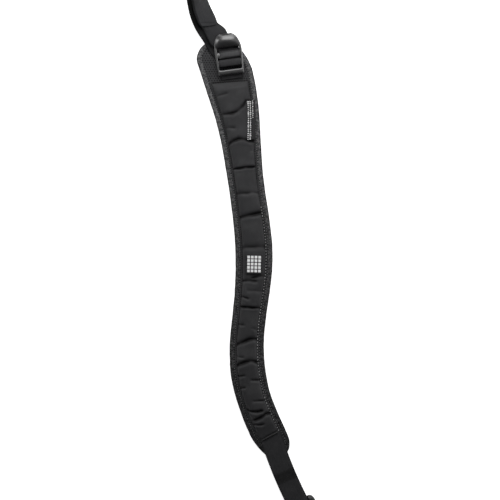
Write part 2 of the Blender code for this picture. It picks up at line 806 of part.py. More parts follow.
def loop_stops(start):
    """Webbing on edge round the wearer's loop, flat again where it meets the buckle."""
    first = start["middle"]
    heading = start["direction"]
    run_top = Vector((LOOP_OUT, LOOP_RUN / 2, 0))
    run_low = Vector((LOOP_OUT, -LOOP_RUN / 2, 0))
    far = BUCKLE.at(0, BUCKLE_LONG, 0)
    plan_start = Vector((first.x, first.y, 0))
    up = Vector((0, 1, 0))
    over = bezier((plan_start, run_top), (heading * LOOP_LEAVE, up * LOOP_OVER), 30)
    back = bezier((run_low, far), (up * -LOOP_UNDER, BUCKLE_DOWN * LOOP_MEET), 24)
    straight = [run_top.lerp(run_low, step / 4) for step in range(1, 4)]
    plan = over + straight + back
    lengths = [0.0]
    for index in range(1, len(plan)):
        lengths.append(lengths[-1] + (plan[index] - plan[index - 1]).length)
    total = lengths[-1]
    stops = []
    for index, point in enumerate(plan[1:-1], start=1):
        turning = min(lengths[index] / TWIST_RUN, 1)
        laying = min((total - lengths[index] - BUCKLE_BAR) / TWIST_RUN, 1)
        laying = max(laying, 0)
        ease_out = turning * turning * (3 - 2 * turning)
        ease_back = laying * laying * (3 - 2 * laying)
        roll = (start["roll"] + (90 - start["roll"]) * ease_out) * ease_back
        angle = math.radians(roll)
        resting = (WEB_WIDE * math.sin(angle) + WEB_THICK * math.cos(angle)) / 2
        height = first.z + (resting - first.z) * ease_out
        height = max(BUCKLE_TOP_WEB + (height - BUCKLE_TOP_WEB) * ease_back, resting)
        ahead = plan[index + 1] - plan[index - 1]
        stops.append(rolled(Vector((point.x, point.y, height)), ahead, roll))
    return stops


def sling_webbing():
    """One length of webbing: tail, ladder lock, wearer's loop and sewn end."""
    tail = route_stops(TAIL_ROUTE, TAIL_HIGH, 22)
    hem = LOCK.at(0, TAIL_HEM_ALONG * WEB_WIDE, 0)
    doubled = WEB_THICK * 1.5 + GAP
    hem_stops = []
    for stop in tail:
        past_hem = (stop["middle"] - hem).dot(LOCK.along) > 0
        if past_hem and hem_stops and "front" not in hem_stops[-1]:
            step = (stop["middle"] - hem_stops[-1]["middle"]).normalized() * GAP
            hem_stops.append({**stop, "middle": stop["middle"] - step})
        hem_stops.append({**stop, "front": doubled} if past_hem else stop)
    load = route_stops(LOAD_ROUTE, SEAT_HIGH, 24)
    leaving = load[-1]["middle"] - load[-2]["middle"]
    leaving.z = 0
    start = {
        "middle": load[-1]["middle"],
        "direction": leaving.normalized(),
        "roll": LOAD_ROUTE[-1]["roll"],
    }
    loop = loop_stops(start)
    far = Seat(BUCKLE.at(0, BUCKLE_LONG, 0), -BUCKLE_DOWN)
    back = sewn_end(far) + follow_under(loop)
    stops = hem_stops[:0:-1] + lock_threading() + load[1:] + loop + back
    return strip("sling_webbing", stops)


def anchor_webbing():
    """Short webbing from under the panel's hem, round the lock's anchor bar."""
    clear = GAP + WEB_THICK / 2
    face = ANCHOR_BAR["to"] * LOCK_LONG + clear
    low = SEAT_HIGH
    top = ANCHOR_TOP + clear
    hem = -ANCHOR_HEM
    radius = BEND_RADIUS
    stops = [flat_stop(LOCK, hem - POCKET_DEEP * 0.85, low)]
    stops += bend(LOCK, (face - radius, low + radius), -90, 0, radius)
    stops += bend(LOCK, (face - radius, top - radius), 0, 90, radius)
    stops.append(flat_stop(LOCK, ANCHOR_BAR["from"] * LOCK_LONG - GAP, top))
    stops.append(flat_stop(LOCK, hem + WEB_THICK * 2.0, low + WEB_THICK + GAP * 1.5))
    stops.append(flat_stop(LOCK, hem + GAP * 3, low + WEB_THICK + GAP))
    return strip("anchor_webbing", stops)


def ladder_lock():
    """Glossy buckle: frame with a domed hood, lip, anchor bar and two grip bars."""
    sections = []
    for row in LOCK_SECTIONS:
        half = row["wide"] * LOCK_HALF
        floor = LOCK_FLOOR + row["floor"] * RAIL_HIGH
        rail = LOCK_FLOOR + row["rail"] * RAIL_HIGH
        crown = rail + row["hood"] * HOOD_RISE
        side = min(RAIL_WIDE * 0.45, (rail - floor) * 0.3)
        along = row["along"] * LOCK_LONG
        aside = row["aside"] * LOCK_HALF
        outline = [
            (-half + side, floor), (half - side, floor), (half, floor + side),
            (half, rail - side), (half - side, rail + (crown - rail) * 0.25),
            (half * 0.62, rail + (crown - rail) * 0.84), (0, crown),
            (-half * 0.62, rail + (crown - rail) * 0.84),
            (-half + side, rail + (crown - rail) * 0.25), (-half, rail - side),
            (-half, floor + side),
        ]
        sections.append([LOCK.at(aside + across, along, height) for across, height in outline])
    lock = loft("ladder_lock", sections, "gloss")
    low = LOCK_FLOOR - CUT_PAST
    high = LOCK_FLOOR + RAIL_HIGH + HOOD_RISE + CUT_PAST
    past = LOCK_LONG * 0.54
    window = LOCK.block(
        "window", (-LOCK_OPEN, LOCK_OPEN),
        (WINDOW["from"] * LOCK_LONG, WINDOW["to"] * LOCK_LONG), (low, high))
    under_lip = LOCK.block(
        "under_lip", (-LOCK_OPEN - GAP, LOCK_OPEN + GAP),
        (-past, (WINDOW["from"] + 0.02) * LOCK_LONG), (low, LIP_FLOOR))
    tail_way = LOCK.block(
        "tail_way", (-LOCK_HALF * 1.2, LOCK_HALF * 1.2),
        (GRIP_BARS[1]["from"] * LOCK_LONG, past), (low, TAIL_ROOF))
    hood_hollow = LOCK.block(
        "hood_hollow", (GAP - LOCK_OPEN, LOCK_OPEN - GAP),
        ((WINDOW["to"] - 0.02) * LOCK_LONG, past), (low, TAIL_ROOF + WEB_THICK * 1.5))
    cut(lock, [window, under_lip, tail_way, hood_hollow])
    reach = LOCK_OPEN + RAIL_WIDE * 0.35
    bars = []
    for bar in GRIP_BARS:
        bars.append(LOCK.rod(
            bar["name"], reach, (bar["from"] * LOCK_LONG, bar["to"] * LOCK_LONG),
            (GRIP_FLOOR, GRIP_TOP), BAR_THICK * 0.3))
    bars.append(LOCK.rod(
        "anchor_bar", reach, (ANCHOR_BAR["from"] * LOCK_LONG, ANCHOR_BAR["to"] * LOCK_LONG),
        (LOCK_FLOOR, ANCHOR_TOP), BAR_THICK * 0.3))
    return cut(lock, bars, "UNION")


def lower_webbing():
    """Webbing from under the panel's lower hem to the lower buckle, sewn back beneath."""
    inside = LOWER_LINE[0] - heading_vector(LOWER_HEADING[0]["heading"]) * POCKET_DEEP
    plan = [inside] + LOWER_LINE
    tip_left = 1 - (1 - PANEL_ENDS["low"]) * PAD_LONG / LOWER_RUN
    stops = []
    for index, point in enumerate(plan[:-1]):
        share = max(index - 1, 0) / (len(LOWER_LINE) - 1)
        climb = min(max((share - 1 + tip_left) / tip_left, 0), 1)
        height = SEAT_HIGH + (BUCKLE_TOP_WEB - SEAT_HIGH) * climb
        middle = Vector((point.x, point.y, height))
        direction = heading_vector(lower_heading(share))
        stops.append({"middle": middle, "across": right_of(direction) * -1})
    return strip("lower_webbing", stops + sewn_end(BUCKLE) + follow_under(stops))


def lower_buckle():
    """Plain closed buckle with a sewing bar behind a slot at each end."""
    sections = []
    for row in BUCKLE_SECTIONS:
        half = row["wide"] * BUCKLE_WIDE / 2
        thick = row["thick"] * BUCKLE_THICK / 2
        along = row["along"] * BUCKLE_LONG
        side = thick * 0.45
        outline = [
            (-half + side * 1.6, -thick), (half - side * 1.6, -thick), (half, -thick + side),
            (half, thick - side), (half - side * 1.6, thick), (-half + side * 1.6, thick),
            (-half, thick - side), (-half, -thick + side),
        ]
        sections.append([
            BUCKLE.at(across, along, BUCKLE_MID + level) for across, level in outline])
    buckle = loft("lower_buckle", sections, "matte")
    open_half = WEB_WIDE / 2 + WEB_PLAY
    cutters = []
    far_slot = (BUCKLE_LONG - BUCKLE_BAR - BUCKLE_SLOT, BUCKLE_LONG - BUCKLE_BAR)
    near_slot = (BUCKLE_BAR, BUCKLE_BAR + BUCKLE_SLOT)
    lap = BUCKLE_BAR * 0.1
    for name, slot in (("near_slot", near_slot), ("far_slot", far_slot)):
        cutters.append(BUCKLE.block(
            name, (-open_half, open_half), slot, (-CUT_PAST, BUCKLE_THICK + CUT_PAST)))
    near_end = (-CUT_PAST, BUCKLE_BAR + lap)
    far_end = (BUCKLE_LONG - BUCKLE_BAR - lap, BUCKLE_LONG + CUT_PAST)
    for name, end in (("near", near_end), ("far", far_end)):
        cutters.append(BUCKLE.block(
            name + "_above", (-open_half - GAP, open_half + GAP), end,
            (BUCKLE_MID + BUCKLE_BAR_HALF, BUCKLE_THICK + CUT_PAST + GAP)))
        cutters.append(BUCKLE.block(
            name + "_below", (-open_half - GAP, open_half + GAP), end,
            (-CUT_PAST - GAP, BUCKLE_MID - BUCKLE_BAR_HALF)))
    return cut(buckle, cutters)


def panel_top(share, aside):
    """Height of the unfolded panel's top at a place on the pad."""
    puff = panel_half(share, 1 if aside > 0 else -1) - PANEL_FLANGE
    if abs(aside) <= puff:
        return PANEL_FLOOR + panel_height(aside / puff, 1.0, 0)
    part = min((abs(aside) - puff) / PANEL_FLANGE, 1)
    edge = panel_height(1.0, 1.0, 0)
    return PANEL_FLOOR + edge + (PANEL_SEAM_THICK - edge) * part


def side_label():
    """Woven tag lying over the panel's right seam."""
    top_share = LABEL_FROM_TIP / PAD_LONG
    sections = []
    lengthwise = 8
    crosswise = 6
    for step in range(lengthwise + 1):
        share = top_share + LABEL_LONG / PAD_LONG * step / lengthwise
        middle = LABEL_ASIDE - LABEL_LEAN * step / lengthwise
        upper = []
        under = []
        for cell in range(crosswise + 1):
            aside = middle + LABEL_WIDE * (cell / crosswise - 0.5)
            point = pad_point(share, aside)
            floor = panel_top(share, aside) + 2 * GAP
            under.append(point + Vector((0, 0, floor)))
            upper.append(point + Vector((0, 0, floor + LABEL_THICK)))
        sections.append(upper + under[::-1])
    return loft("side_label", sections, "woven")


def badge_patch():
    """Small moulded patch with rounded corners on the panel's crown."""
    direction = heading_vector(pad_heading(BADGE_SHARE))
    seat = Seat(pad_point(BADGE_SHARE), -direction)
    floor = PANEL_FLOOR + PANEL_RISE + GAP
    bm = bmesh.new()
    rings = []
    for shrink, height in ((0, 0), (0, BADGE_THICK * 0.7), (BADGE_THICK * 0.3, BADGE_THICK)):
        ring = []
        half_wide = BADGE_WIDE / 2 - BADGE_CORNER
        half_long = BADGE_LONG / 2 - BADGE_CORNER
        for corner in range(4):
            side_x = 1 if corner in (0, 3) else -1
            side_y = 1 if corner in (0, 1) else -1
            for step in range(5):
                angle = math.radians(90 * corner + 22.5 * step)
                radius = BADGE_CORNER - shrink
                ring.append(seat.at(
                    side_x * half_wide + radius * math.cos(angle),
                    side_y * half_long + radius * math.sin(angle),
                    floor + height))
        rings.append(ring)
    rows = add_rings(bm, rings, around=False)
    bm.faces.new(rows[0])
    bm.faces.new(rows[-1])
    return finish("badge_patch", bm, "rubber")


def build():
    for thing in list(bpy.data.objects):
        bpy.data.objects.remove(thing, do_unlink=True)
    pad_base()
    edge_binding()
    centre_panel()
    ladder_lock()
    anchor_webbing()
    sling_webbing()
    lower_webbing()
    lower_buckle()
    side_label()
    badge_patch()


build()
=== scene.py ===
# %% [markdown]
# # A camera sling strap, dressed over its solids
# The strap lies on a table and is seen from straight above: a curved shoulder pad with a bound
# edge, a raised nylon panel, a ladder lock at the top and one-inch webbing that makes the loop.
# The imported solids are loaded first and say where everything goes. Each soft solid is then
# replaced by a finer piece of the same place and size.

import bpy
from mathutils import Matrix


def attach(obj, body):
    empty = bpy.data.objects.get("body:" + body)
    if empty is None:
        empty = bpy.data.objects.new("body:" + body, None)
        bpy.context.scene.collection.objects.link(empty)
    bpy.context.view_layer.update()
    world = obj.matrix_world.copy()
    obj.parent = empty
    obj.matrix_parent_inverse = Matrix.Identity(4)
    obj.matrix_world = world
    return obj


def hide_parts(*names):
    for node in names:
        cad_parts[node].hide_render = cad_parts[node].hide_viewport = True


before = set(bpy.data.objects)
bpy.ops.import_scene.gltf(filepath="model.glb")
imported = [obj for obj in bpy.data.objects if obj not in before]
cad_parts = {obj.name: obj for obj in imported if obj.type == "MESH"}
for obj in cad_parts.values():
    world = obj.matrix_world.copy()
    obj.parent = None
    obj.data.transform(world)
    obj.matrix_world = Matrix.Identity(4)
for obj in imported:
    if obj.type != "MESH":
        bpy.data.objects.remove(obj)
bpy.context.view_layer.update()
print("solids:", ", ".join(sorted(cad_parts)))

# %% [markdown]
# The sizes below are the ones that the solids were made with, in metres. Webbing, tape and pad
# are bought by these few numbers, so every piece in this file is worked out from them.

# %% Sizes of the cloth and webbing
import itertools
import math

import bmesh
import bpy
from mathutils import Vector, noise

GAP = 0.0003
PAD_LONG = 0.502
PAD_WIDE = 0.060
PAD_THICK = 0.0060
TAPE_FACE = 0.0058
TAPE_THICK = 0.0008
WEB_WIDE = 0.0254
WEB_THICK = 0.0014
PANEL_FLOOR = PAD_THICK + GAP
PANEL_RISE = 0.0048
PANEL_FLANGE = 0.0022
PANEL_ENDS = {"top": 0.1036, "low": 0.9442}
print(f"pad {PAD_LONG * 1000:.0f} mm long, webbing {WEB_WIDE * 1000:.1f} mm wide")

# %% [markdown]
# The pad is cut on a curve that follows the shoulder. A pattern cutter would draw its middle
# line first and then measure off the width to each side, and this does the same: a heading
# and a width at stations down the line, with a smooth curve between them.

# %% Stations down the pad
PAD_SHAPE = [
    {"share": 0.00, "heading": 17.4, "wide": 1.000},
    {"share": 0.05, "heading": 16.9, "wide": 1.000},
    {"share": 0.10, "heading": 15.4, "wide": 0.978},
    {"share": 0.15, "heading": 12.7, "wide": 0.920},
    {"share": 0.20, "heading": 9.2, "wide": 0.839},
    {"share": 0.25, "heading": 7.0, "wide": 0.769},
    {"share": 0.30, "heading": 6.7, "wide": 0.721},
    {"share": 0.35, "heading": 7.8, "wide": 0.696},
    {"share": 0.40, "heading": 8.1, "wide": 0.698},
    {"share": 0.45, "heading": 6.2, "wide": 0.715},
    {"share": 0.50, "heading": 2.2, "wide": 0.725},
    {"share": 0.55, "heading": -2.7, "wide": 0.713},
    {"share": 0.60, "heading": -6.2, "wide": 0.681},
    {"share": 0.65, "heading": -7.0, "wide": 0.659},
    {"share": 0.70, "heading": -4.0, "wide": 0.661},
    {"share": 0.75, "heading": 2.3, "wide": 0.677},
    {"share": 0.80, "heading": 10.0, "wide": 0.681},
    {"share": 0.85, "heading": 17.8, "wide": 0.665},
    {"share": 0.90, "heading": 23.4, "wide": 0.675},
    {"share": 0.95, "heading": 23.6, "wide": 0.679},
    {"share": 1.00, "heading": 22.0, "wide": 0.677},
]
PAD_ENDS = {
    ("top", -1): {"reach": 0.39, "square": 2.2},
    ("top", 1): {"reach": 0.85, "square": 1.85},
    ("low", -1): {"reach": 1.06, "square": 1.85},
    ("low", 1): {"reach": 0.52, "square": 2.0},
}
print(f"pad: {len(PAD_SHAPE)} stations")


# %% A smooth curve through a table
def between(table, share, column):
    """Read a column at any share, on a smooth curve through the table's rows."""
    last = len(table) - 1
    row = 0
    while row < last - 1 and share > table[row + 1]["share"]:
        row += 1
    low, high = table[row], table[row + 1]
    before, after = table[max(row - 1, 0)], table[min(row + 2, last)]
    step = high["share"] - low["share"]
    t = (share - low["share"]) / step
    slope_low = (high[column] - before[column]) / (high["share"] - before["share"]) * step
    slope_high = (after[column] - low[column]) / (after["share"] - low["share"]) * step
    return (
        (2 * t ** 3 - 3 * t ** 2 + 1) * low[column]
        + (t ** 3 - 2 * t ** 2 + t) * slope_low
        + (3 * t ** 2 - 2 * t ** 3) * high[column]
        + (t ** 3 - t ** 2) * slope_high
    )


print(f"heading between stations: {between(PAD_SHAPE, 0.22, 'heading'):.1f} degrees")


# %% Walk the middle line
def heading_vector(degrees):
    """Plan direction of a heading: 0 is straight down the page, + to the right."""
    angle = math.radians(degrees)
    return Vector((math.sin(angle), -math.cos(angle), 0))


def pad_heading(share):
    return between(PAD_SHAPE, min(max(share, 0), 1), "heading")


def walk(length, heading_at, steps=400):
    """Follow a heading from the origin; returns the points passed on the way."""
    points = [Vector((0, 0, 0))]
    for step in range(steps):
        heading = heading_at((step + 0.5) / steps)
        points.append(points[-1] + heading_vector(heading) * (length / steps))
    return points


PAD_LINE = walk(PAD_LONG, pad_heading)
PAD_MIDDLE = PAD_LINE[len(PAD_LINE) // 2].copy()
print(f"middle line: {len(PAD_LINE)} points")


# %% Places and widths on the pad
def pad_point(share, aside=0.0, height=0.0):
    """A point on the pad's middle line, moved aside by a distance, at a height."""
    inside = min(max(share, 0), 1)
    place = inside * (len(PAD_LINE) - 1)
    index = min(int(place), len(PAD_LINE) - 2)
    point = PAD_LINE[index].lerp(PAD_LINE[index + 1], place - index) - PAD_MIDDLE
    direction = heading_vector(pad_heading(share))
    point = point + direction * (share - inside) * PAD_LONG
    return point + Vector((-direction.y, direction.x, 0)) * aside + Vector((0, 0, height))


def pad_half(share, side):
    """Half-width of the pad at a share of its length, on the left (-1) or right (+1)."""
    half = between(PAD_SHAPE, share, "wide") * PAD_WIDE / 2
    for end, from_tip in (("top", share), ("low", 1 - share)):
        shape = PAD_ENDS[(end, side)]
        short = 1 - from_tip * PAD_LONG / (shape["reach"] * 2 * half)
        if short > 0:
            half *= max(1 - short ** shape["square"], 0) ** (1 / shape["square"])
    return half


PAD_STATIONS = 320
PAD_SHARES = [
    0.5 - 0.5 * math.cos(math.pi * (index + 0.5) / PAD_STATIONS) for index in range(PAD_STATIONS)
]
print(f"outline: {2 * PAD_STATIONS} points, closer together round the two ends")

# %% [markdown]
# Moving an outline inwards by a distance is what a seam allowance is. The binding, its
# stitches and the foam all follow the pad's edge at their own distances, so one function
# gives the edge moved in by a distance and lifted to a height.


# %% The pad's edge, moved in
def pad_edge():
    """The outline in plan, left side down and right side up, with its inward directions."""
    left = [pad_point(share, -pad_half(share, -1)) for share in PAD_SHARES]
    right = [pad_point(share, pad_half(share, 1)) for share in PAD_SHARES]
    ring = left + right[::-1]
    inward = []
    for index, point in enumerate(ring):
        ahead = (ring[(index + 1) % len(ring)] - point).normalized()
        behind = (point - ring[index - 1]).normalized()
        along = (ahead + behind).normalized()
        inward.append(Vector((-along.y, along.x, 0)))
    return ring, inward


EDGE, INWARD = pad_edge()


def moved_in(distance, height):
    return [
        point + inward * distance + Vector((0, 0, height)) for point, inward in zip(EDGE, INWARD)
    ]


EDGE_TRAVEL = [0.0]
for here, after in zip(EDGE, EDGE[1:] + EDGE[:1]):
    EDGE_TRAVEL.append(EDGE_TRAVEL[-1] + (after - here).length)
print(f"edge: {EDGE_TRAVEL[-1] * 1000:.0f} mm round")

# %% [markdown]
# ## Finishes
# A procedural material is a small sum over the surface: where a thread is high, where the
# cloth is worn, how rough it is there. Written with nodes alone such sums are hard to read,
# so one class wraps a socket and lets Python's own signs add the Math nodes. Every other
# node comes from one method, and colours are mixed with Mix nodes.


# %% Shader sums written as Python
class Reading:
    """A number that varies over the surface, read from a shader socket."""

    def __init__(self, finish, socket):
        self.finish = finish
        self.socket = socket

    def math(self, operation, *values):
        return self.finish.add("ShaderNodeMath", {"operation": operation}, dict(enumerate(values)))

    def __add__(self, other):
        return self.math("ADD", self, other)

    def __radd__(self, other):
        return self.math("ADD", other, self)

    def __sub__(self, other):
        return self.math("SUBTRACT", self, other)

    def __rsub__(self, other):
        return self.math("SUBTRACT", other, self)

    def __mul__(self, other):
        return self.math("MULTIPLY", self, other)

    def __rmul__(self, other):
        return self.math("MULTIPLY", other, self)

    def __abs__(self):
        return self.math("ABSOLUTE", self)

    def wave(self, pitch):
        """A smooth rise and fall from 0 to 1 that repeats at a pitch."""
        return self.math("SINE", self * (math.tau / pitch)) * 0.5 + 0.5

    def parity(self, pitch):
        """0 on even bands of a pitch and 1 on odd ones."""
        return self.math("FLOOR", self.math("FRACT", self * (0.5 / pitch)) * 2.0)

    def above(self, level, soft):
        """0 below a level, 1 above it, with a soft change of a width."""
        return self.finish.add(
            "ShaderNodeMapRange", {"interpolation_type": "SMOOTHSTEP"},
            {"Value": self, "From Min": level - soft, "From Max": level + soft})


print("signs that add nodes: + - * and abs")

# %% [markdown]
# A finish is one material while it is made. It is named for the cloth or plastic that it
# stands for, and gives readings of the surface: a place, a map, a stored number, a noise.


# %% One material in the making
class Finish:
    """A material under construction, round one Principled shader."""

    def __init__(self, name, **constants):
        self.material = bpy.data.materials.new(name)
        self.material.use_nodes = True
        self.tree = self.material.node_tree
        self.shader = self.tree.nodes["Principled BSDF"]
        for socket, value in constants.items():
            self.shader.inputs[socket.replace("_", " ")].default_value = value

    def add(self, kind, settings, values, output=0):
        node = self.tree.nodes.new(kind)
        for name, value in settings.items():
            setattr(node, name, value)
        for socket, value in values.items():
            self.put(node.inputs[socket], value)
        return Reading(self, node.outputs[output])

    def put(self, socket, value):
        if isinstance(value, Reading):
            self.tree.links.new(value.socket, socket)
        elif isinstance(value, tuple) and socket.type == "RGBA":
            socket.default_value = (*value, 1)
        else:
            socket.default_value = value

    def feed(self, socket, value):
        self.put(self.shader.inputs[socket], value)

    def place(self):
        return self.add("ShaderNodeTexCoord", {}, {}, "Object")

    def parts(self, vector):
        split = self.add("ShaderNodeSeparateXYZ", {}, {0: vector})
        node = split.socket.node
        return [Reading(self, node.outputs[index]) for index in range(3)]

    def cloth(self):
        """Across and along the cloth, in metres, from the piece's own map."""
        return self.parts(self.add("ShaderNodeUVMap", {"uv_map": "cloth"}, {}))[:2]

    def stored(self, name):
        """A number that the piece's mesh keeps for each of its points."""
        return self.add("ShaderNodeAttribute", {"attribute_name": name}, {}, "Fac")

    def noise(self, vector, scale, detail=3.0, rough=0.55):
        return self.add(
            "ShaderNodeTexNoise", {},
            {"Vector": vector, "Scale": scale, "Detail": detail, "Roughness": rough})

    def spread(self, across, along):
        """One place on the flat cloth, for the textures that need a vector."""
        return self.add("ShaderNodeCombineXYZ", {}, {0: across, 1: along})

    def mix(self, factor, low, high):
        return self.add(
            "ShaderNodeMix", {"data_type": "RGBA"}, {0: factor, 6: low, 7: high}, 2)

    def relief(self, height, deep):
        bump = self.add(
            "ShaderNodeBump", {}, {"Height": height, "Distance": deep, "Strength": 1.0})
        self.feed("Normal", bump)


UNLIT = (0.003, 0.003, 0.003)
print("cloth that no light reaches:", UNLIT)

# %% [markdown]
# The panel's cloth is a close coated nylon. Its threads are under half a millimetre, so from
# a distance it is smooth and a little shiny, with faint paler rubbing where it stands high.
# A plain weave is two waves, one for each set of threads, taken in turns like a chequerboard.
# No light gets into the bottom of a fold, so the mesh keeps how deep a fold is at each point,
# and the colour goes to nearly black there.


# %% Panel nylon
def panel_nylon():
    finish = Finish("panel_nylon", Specular_IOR_Level=0.22)
    across, along = finish.cloth()
    plan = finish.spread(across, along)
    thread = 0.00055
    turn = abs(across.parity(thread) - along.parity(thread))
    weave = across.wave(thread) * turn + along.wave(thread) * (1 - turn)
    broad = finish.noise(plan, 42.0, 4.0)
    fine = finish.noise(plan, 900.0, 2.0)
    rub_and_painted_light = broad.above(0.55, 0.14)
    colour = finish.mix(rub_and_painted_light, (0.036, 0.036, 0.038), (0.050, 0.050, 0.052))
    colour = finish.mix(fine * 0.30, colour, (0.022, 0.022, 0.024))
    finish.feed("Base Color", finish.mix(finish.stored("crease"), colour, UNLIT))
    finish.feed("Roughness", 0.50 + 0.10 * broad + 0.05 * fine)
    finish.relief(weave * 0.6 + fine * 0.6 + broad * 1.2, 0.00007)
    return finish.material


PANEL_NYLON = panel_nylon()
print("finish:", PANEL_NYLON.name)

# %% [markdown]
# The tape round the edge is a ribbed binding. It is duller and paler than the panel because
# its ribs scatter the light, and it is mottled where the needle has pulled it. The ribs run
# across the tape, so they repeat along its length. Towards the lock it has painted light,
# towards its lower end painted shade, and close round its fold it is painted dark as shade.
# FOLD_AT is where the fold is, measured round the tape from its edge under the pad.


# %% Binding tape
FOLD_AT = 0.0075


def binding_tape():
    finish = Finish("binding_tape", Specular_IOR_Level=0.12)
    across, along = finish.cloth()
    plan = finish.spread(across, along)
    north = finish.parts(finish.place())[1]
    rib = along.wave(0.0010)
    cord = across.wave(0.0012)
    mottle = finish.noise(plan, 330.0, 3.0, 0.65)
    patch = finish.noise(plan, 28.0, 2.0)
    pale = mottle.above(0.52, 0.09) * (0.55 + 0.6 * patch)
    # painted light: paler towards the lock; painted shade: darker at the lower end
    painted_top_light = north.above(0.03, 0.24)
    low = 1 - north.above(-0.215, 0.05)
    tape_tone = finish.mix(pale, (0.018, 0.018, 0.019), (0.080, 0.080, 0.082))
    tape_tone = finish.mix(low * 0.6, tape_tone, (0.010, 0.010, 0.011))
    wear_and_painted_light = finish.mix(pale, (0.078, 0.078, 0.080), (0.230, 0.230, 0.233))
    colour = finish.mix(painted_top_light, tape_tone, wear_and_painted_light)
    colour = finish.mix(rib * 0.25, colour, (0.014, 0.014, 0.015))
    # painted shade close round the fold
    off_fold = abs(across - FOLD_AT).above(0.0028, 0.0008)
    finish.feed("Base Color", finish.mix(off_fold, (0.016, 0.016, 0.017), colour))
    finish.feed("Roughness", 0.82 + 0.12 * mottle)
    finish.relief(rib + cord * 0.35 + mottle * 1.2, 0.00016)
    return finish.material


BINDING_TAPE = binding_tape()
print("finish:", BINDING_TAPE.name)

# %% [markdown]
# Webbing is woven thick and narrow. Its cords run along it in a herringbone: in one cord the
# picks lean one way and in the next the other way. The lean is a wave along the strap whose
# start slides with the distance across, forwards or backwards by turns. Its two edges are
# darker. Shade is painted on the run that goes under the lock, near the head of the pad, most
# where it is turned on to its edge, and in the groove between two bars and beyond them. It is
# also darker across a band of tacks. Light is painted where it is drawn over a bar, which
# makes it paler. The strap's mesh keeps both of these for each of its points.


# %% Webbing
def strap_webbing():
    finish = Finish("strap_webbing", Specular_IOR_Level=0.18)
    across, along = finish.cloth()
    plan = finish.spread(across, along)
    cord_wide = 0.00212
    side = across.parity(cord_wide) * 2.0 - 1.0
    pick = (along + across * side * 0.9).wave(0.00105)
    ridge = across.wave(cord_wide)
    streak = finish.noise(finish.spread(across * 900.0, along * 45.0), 1.0, 3.0)
    fuzz = finish.noise(plan, 1500.0, 2.0)
    wear_and_painted_light = finish.noise(plan, 60.0, 3.0).above(0.56, 0.15)
    colour = finish.mix(streak, (0.026, 0.026, 0.028), (0.046, 0.046, 0.049))
    colour = finish.mix(wear_and_painted_light * 0.45, colour, (0.058, 0.058, 0.060))
    colour = finish.mix((1 - pick) * 0.45, colour, (0.014, 0.014, 0.015))
    selvedge = abs(across).above(WEB_WIDE / 2 - 0.0010, 0.0005)
    colour = finish.mix(selvedge * 0.7, colour, (0.008, 0.008, 0.009))
    # painted shade, a darker band of tacks, and painted light over the grip bars
    painted_shade_and_tack_band = finish.stored("painted_shade_and_tack_band")
    rubbed_and_painted_light = finish.stored("rubbed_and_painted_light")
    colour = finish.mix(rubbed_and_painted_light * (0.35 + 0.65 * streak), colour, (0.135, 0.135, 0.138))
    finish.feed("Base Color", finish.mix(painted_shade_and_tack_band * 0.93, colour, UNLIT))
    finish.feed("Roughness", 0.66 + 0.16 * fuzz + 0.18 * painted_shade_and_tack_band)
    finish.relief(pick + ridge * 0.8 + fuzz * 0.5, 0.00013)
    return finish.material


STRAP_WEBBING = strap_webbing()
print("finish:", STRAP_WEBBING.name)

# %% [markdown]
# The face that lies on the shoulder is a spacer knit: a soft cloth full of small round holes
# in rows that are shifted by half a step, which lets air through and grips the shirt.


# %% Backing knit
def backing_knit():
    finish = Finish("backing_knit", Specular_IOR_Level=0.12)
    across, along = finish.cloth()
    plan = finish.spread(across, along)
    pitch = 0.0030
    row_pitch = pitch * 0.87
    shifted = across + along.parity(row_pitch) * (pitch / 2)
    hole = shifted.wave(pitch) * along.wave(row_pitch)
    fluff = finish.noise(plan, 1300.0, 2.0)
    broad = finish.noise(plan, 50.0, 3.0)
    open_part = hole.above(0.50, 0.12)
    colour = finish.mix(broad, (0.040, 0.040, 0.042), (0.076, 0.076, 0.079))
    finish.feed("Base Color", finish.mix(open_part, colour, (0.016, 0.016, 0.017)))
    finish.feed("Roughness", 0.88 + 0.10 * fluff)
    finish.relief((1 - open_part) * 1.5 + fluff * 0.7, 0.00022)
    return finish.material


BACKING_KNIT = backing_knit()
print("finish:", BACKING_KNIT.name)

# %% [markdown]
# Two moulded plastics: the lock is polished and shows the light as a clear shape, the lower
# buckle has a satin grain. Polished plastic is never quite flat, so a broad faint ripple and
# a few fine rubs break the reflection. The rubber badge has a finer, duller grain.


# %% Plastics and rubber
def moulded(name, colour, gloss, smooth, rubbed_and_painted_light, grain_size, grain_deep, coat=0.0):
    finish = Finish(
        name, IOR=1.49, Specular_IOR_Level=gloss, Coat_Weight=coat, Coat_Roughness=0.28)
    place = finish.place()
    ripple = finish.noise(place, 160.0, 2.0)
    grain = finish.noise(place, grain_size, 3.0, 0.6)
    rub_and_painted_light = finish.noise(place, 420.0, 5.0, 0.7).above(0.66, 0.08)
    paler = tuple(part * 1.9 for part in colour)
    finish.feed("Base Color", finish.mix(rub_and_painted_light * 0.3 + ripple * 0.2, colour, paler))
    finish.feed("Roughness", smooth + (rubbed_and_painted_light - smooth) * rub_and_painted_light + 0.04 * grain)
    finish.relief(ripple * 0.5 + grain, grain_deep)
    return finish.material


POLISHED = moulded(
    "polished_plastic", (0.010, 0.010, 0.011), 1.0, 0.30, 0.35, 1800.0, 0.000003, coat=1.0)
SATIN = moulded("satin_plastic", (0.014, 0.014, 0.015), 0.5, 0.40, 0.55, 2600.0, 0.00005)
RUBBER = moulded("badge_rubber", (0.013, 0.013, 0.014), 0.4, 0.50, 0.64, 3200.0, 0.00004)
print("finishes:", POLISHED.name, SATIN.name, RUBBER.name)

# %% [markdown]
# Thread is twisted yarn, so a stitch carries slanting grooves. The pale yarn of the tag and
# the pale ink of the badge need only a little unevenness, or they look like paper.


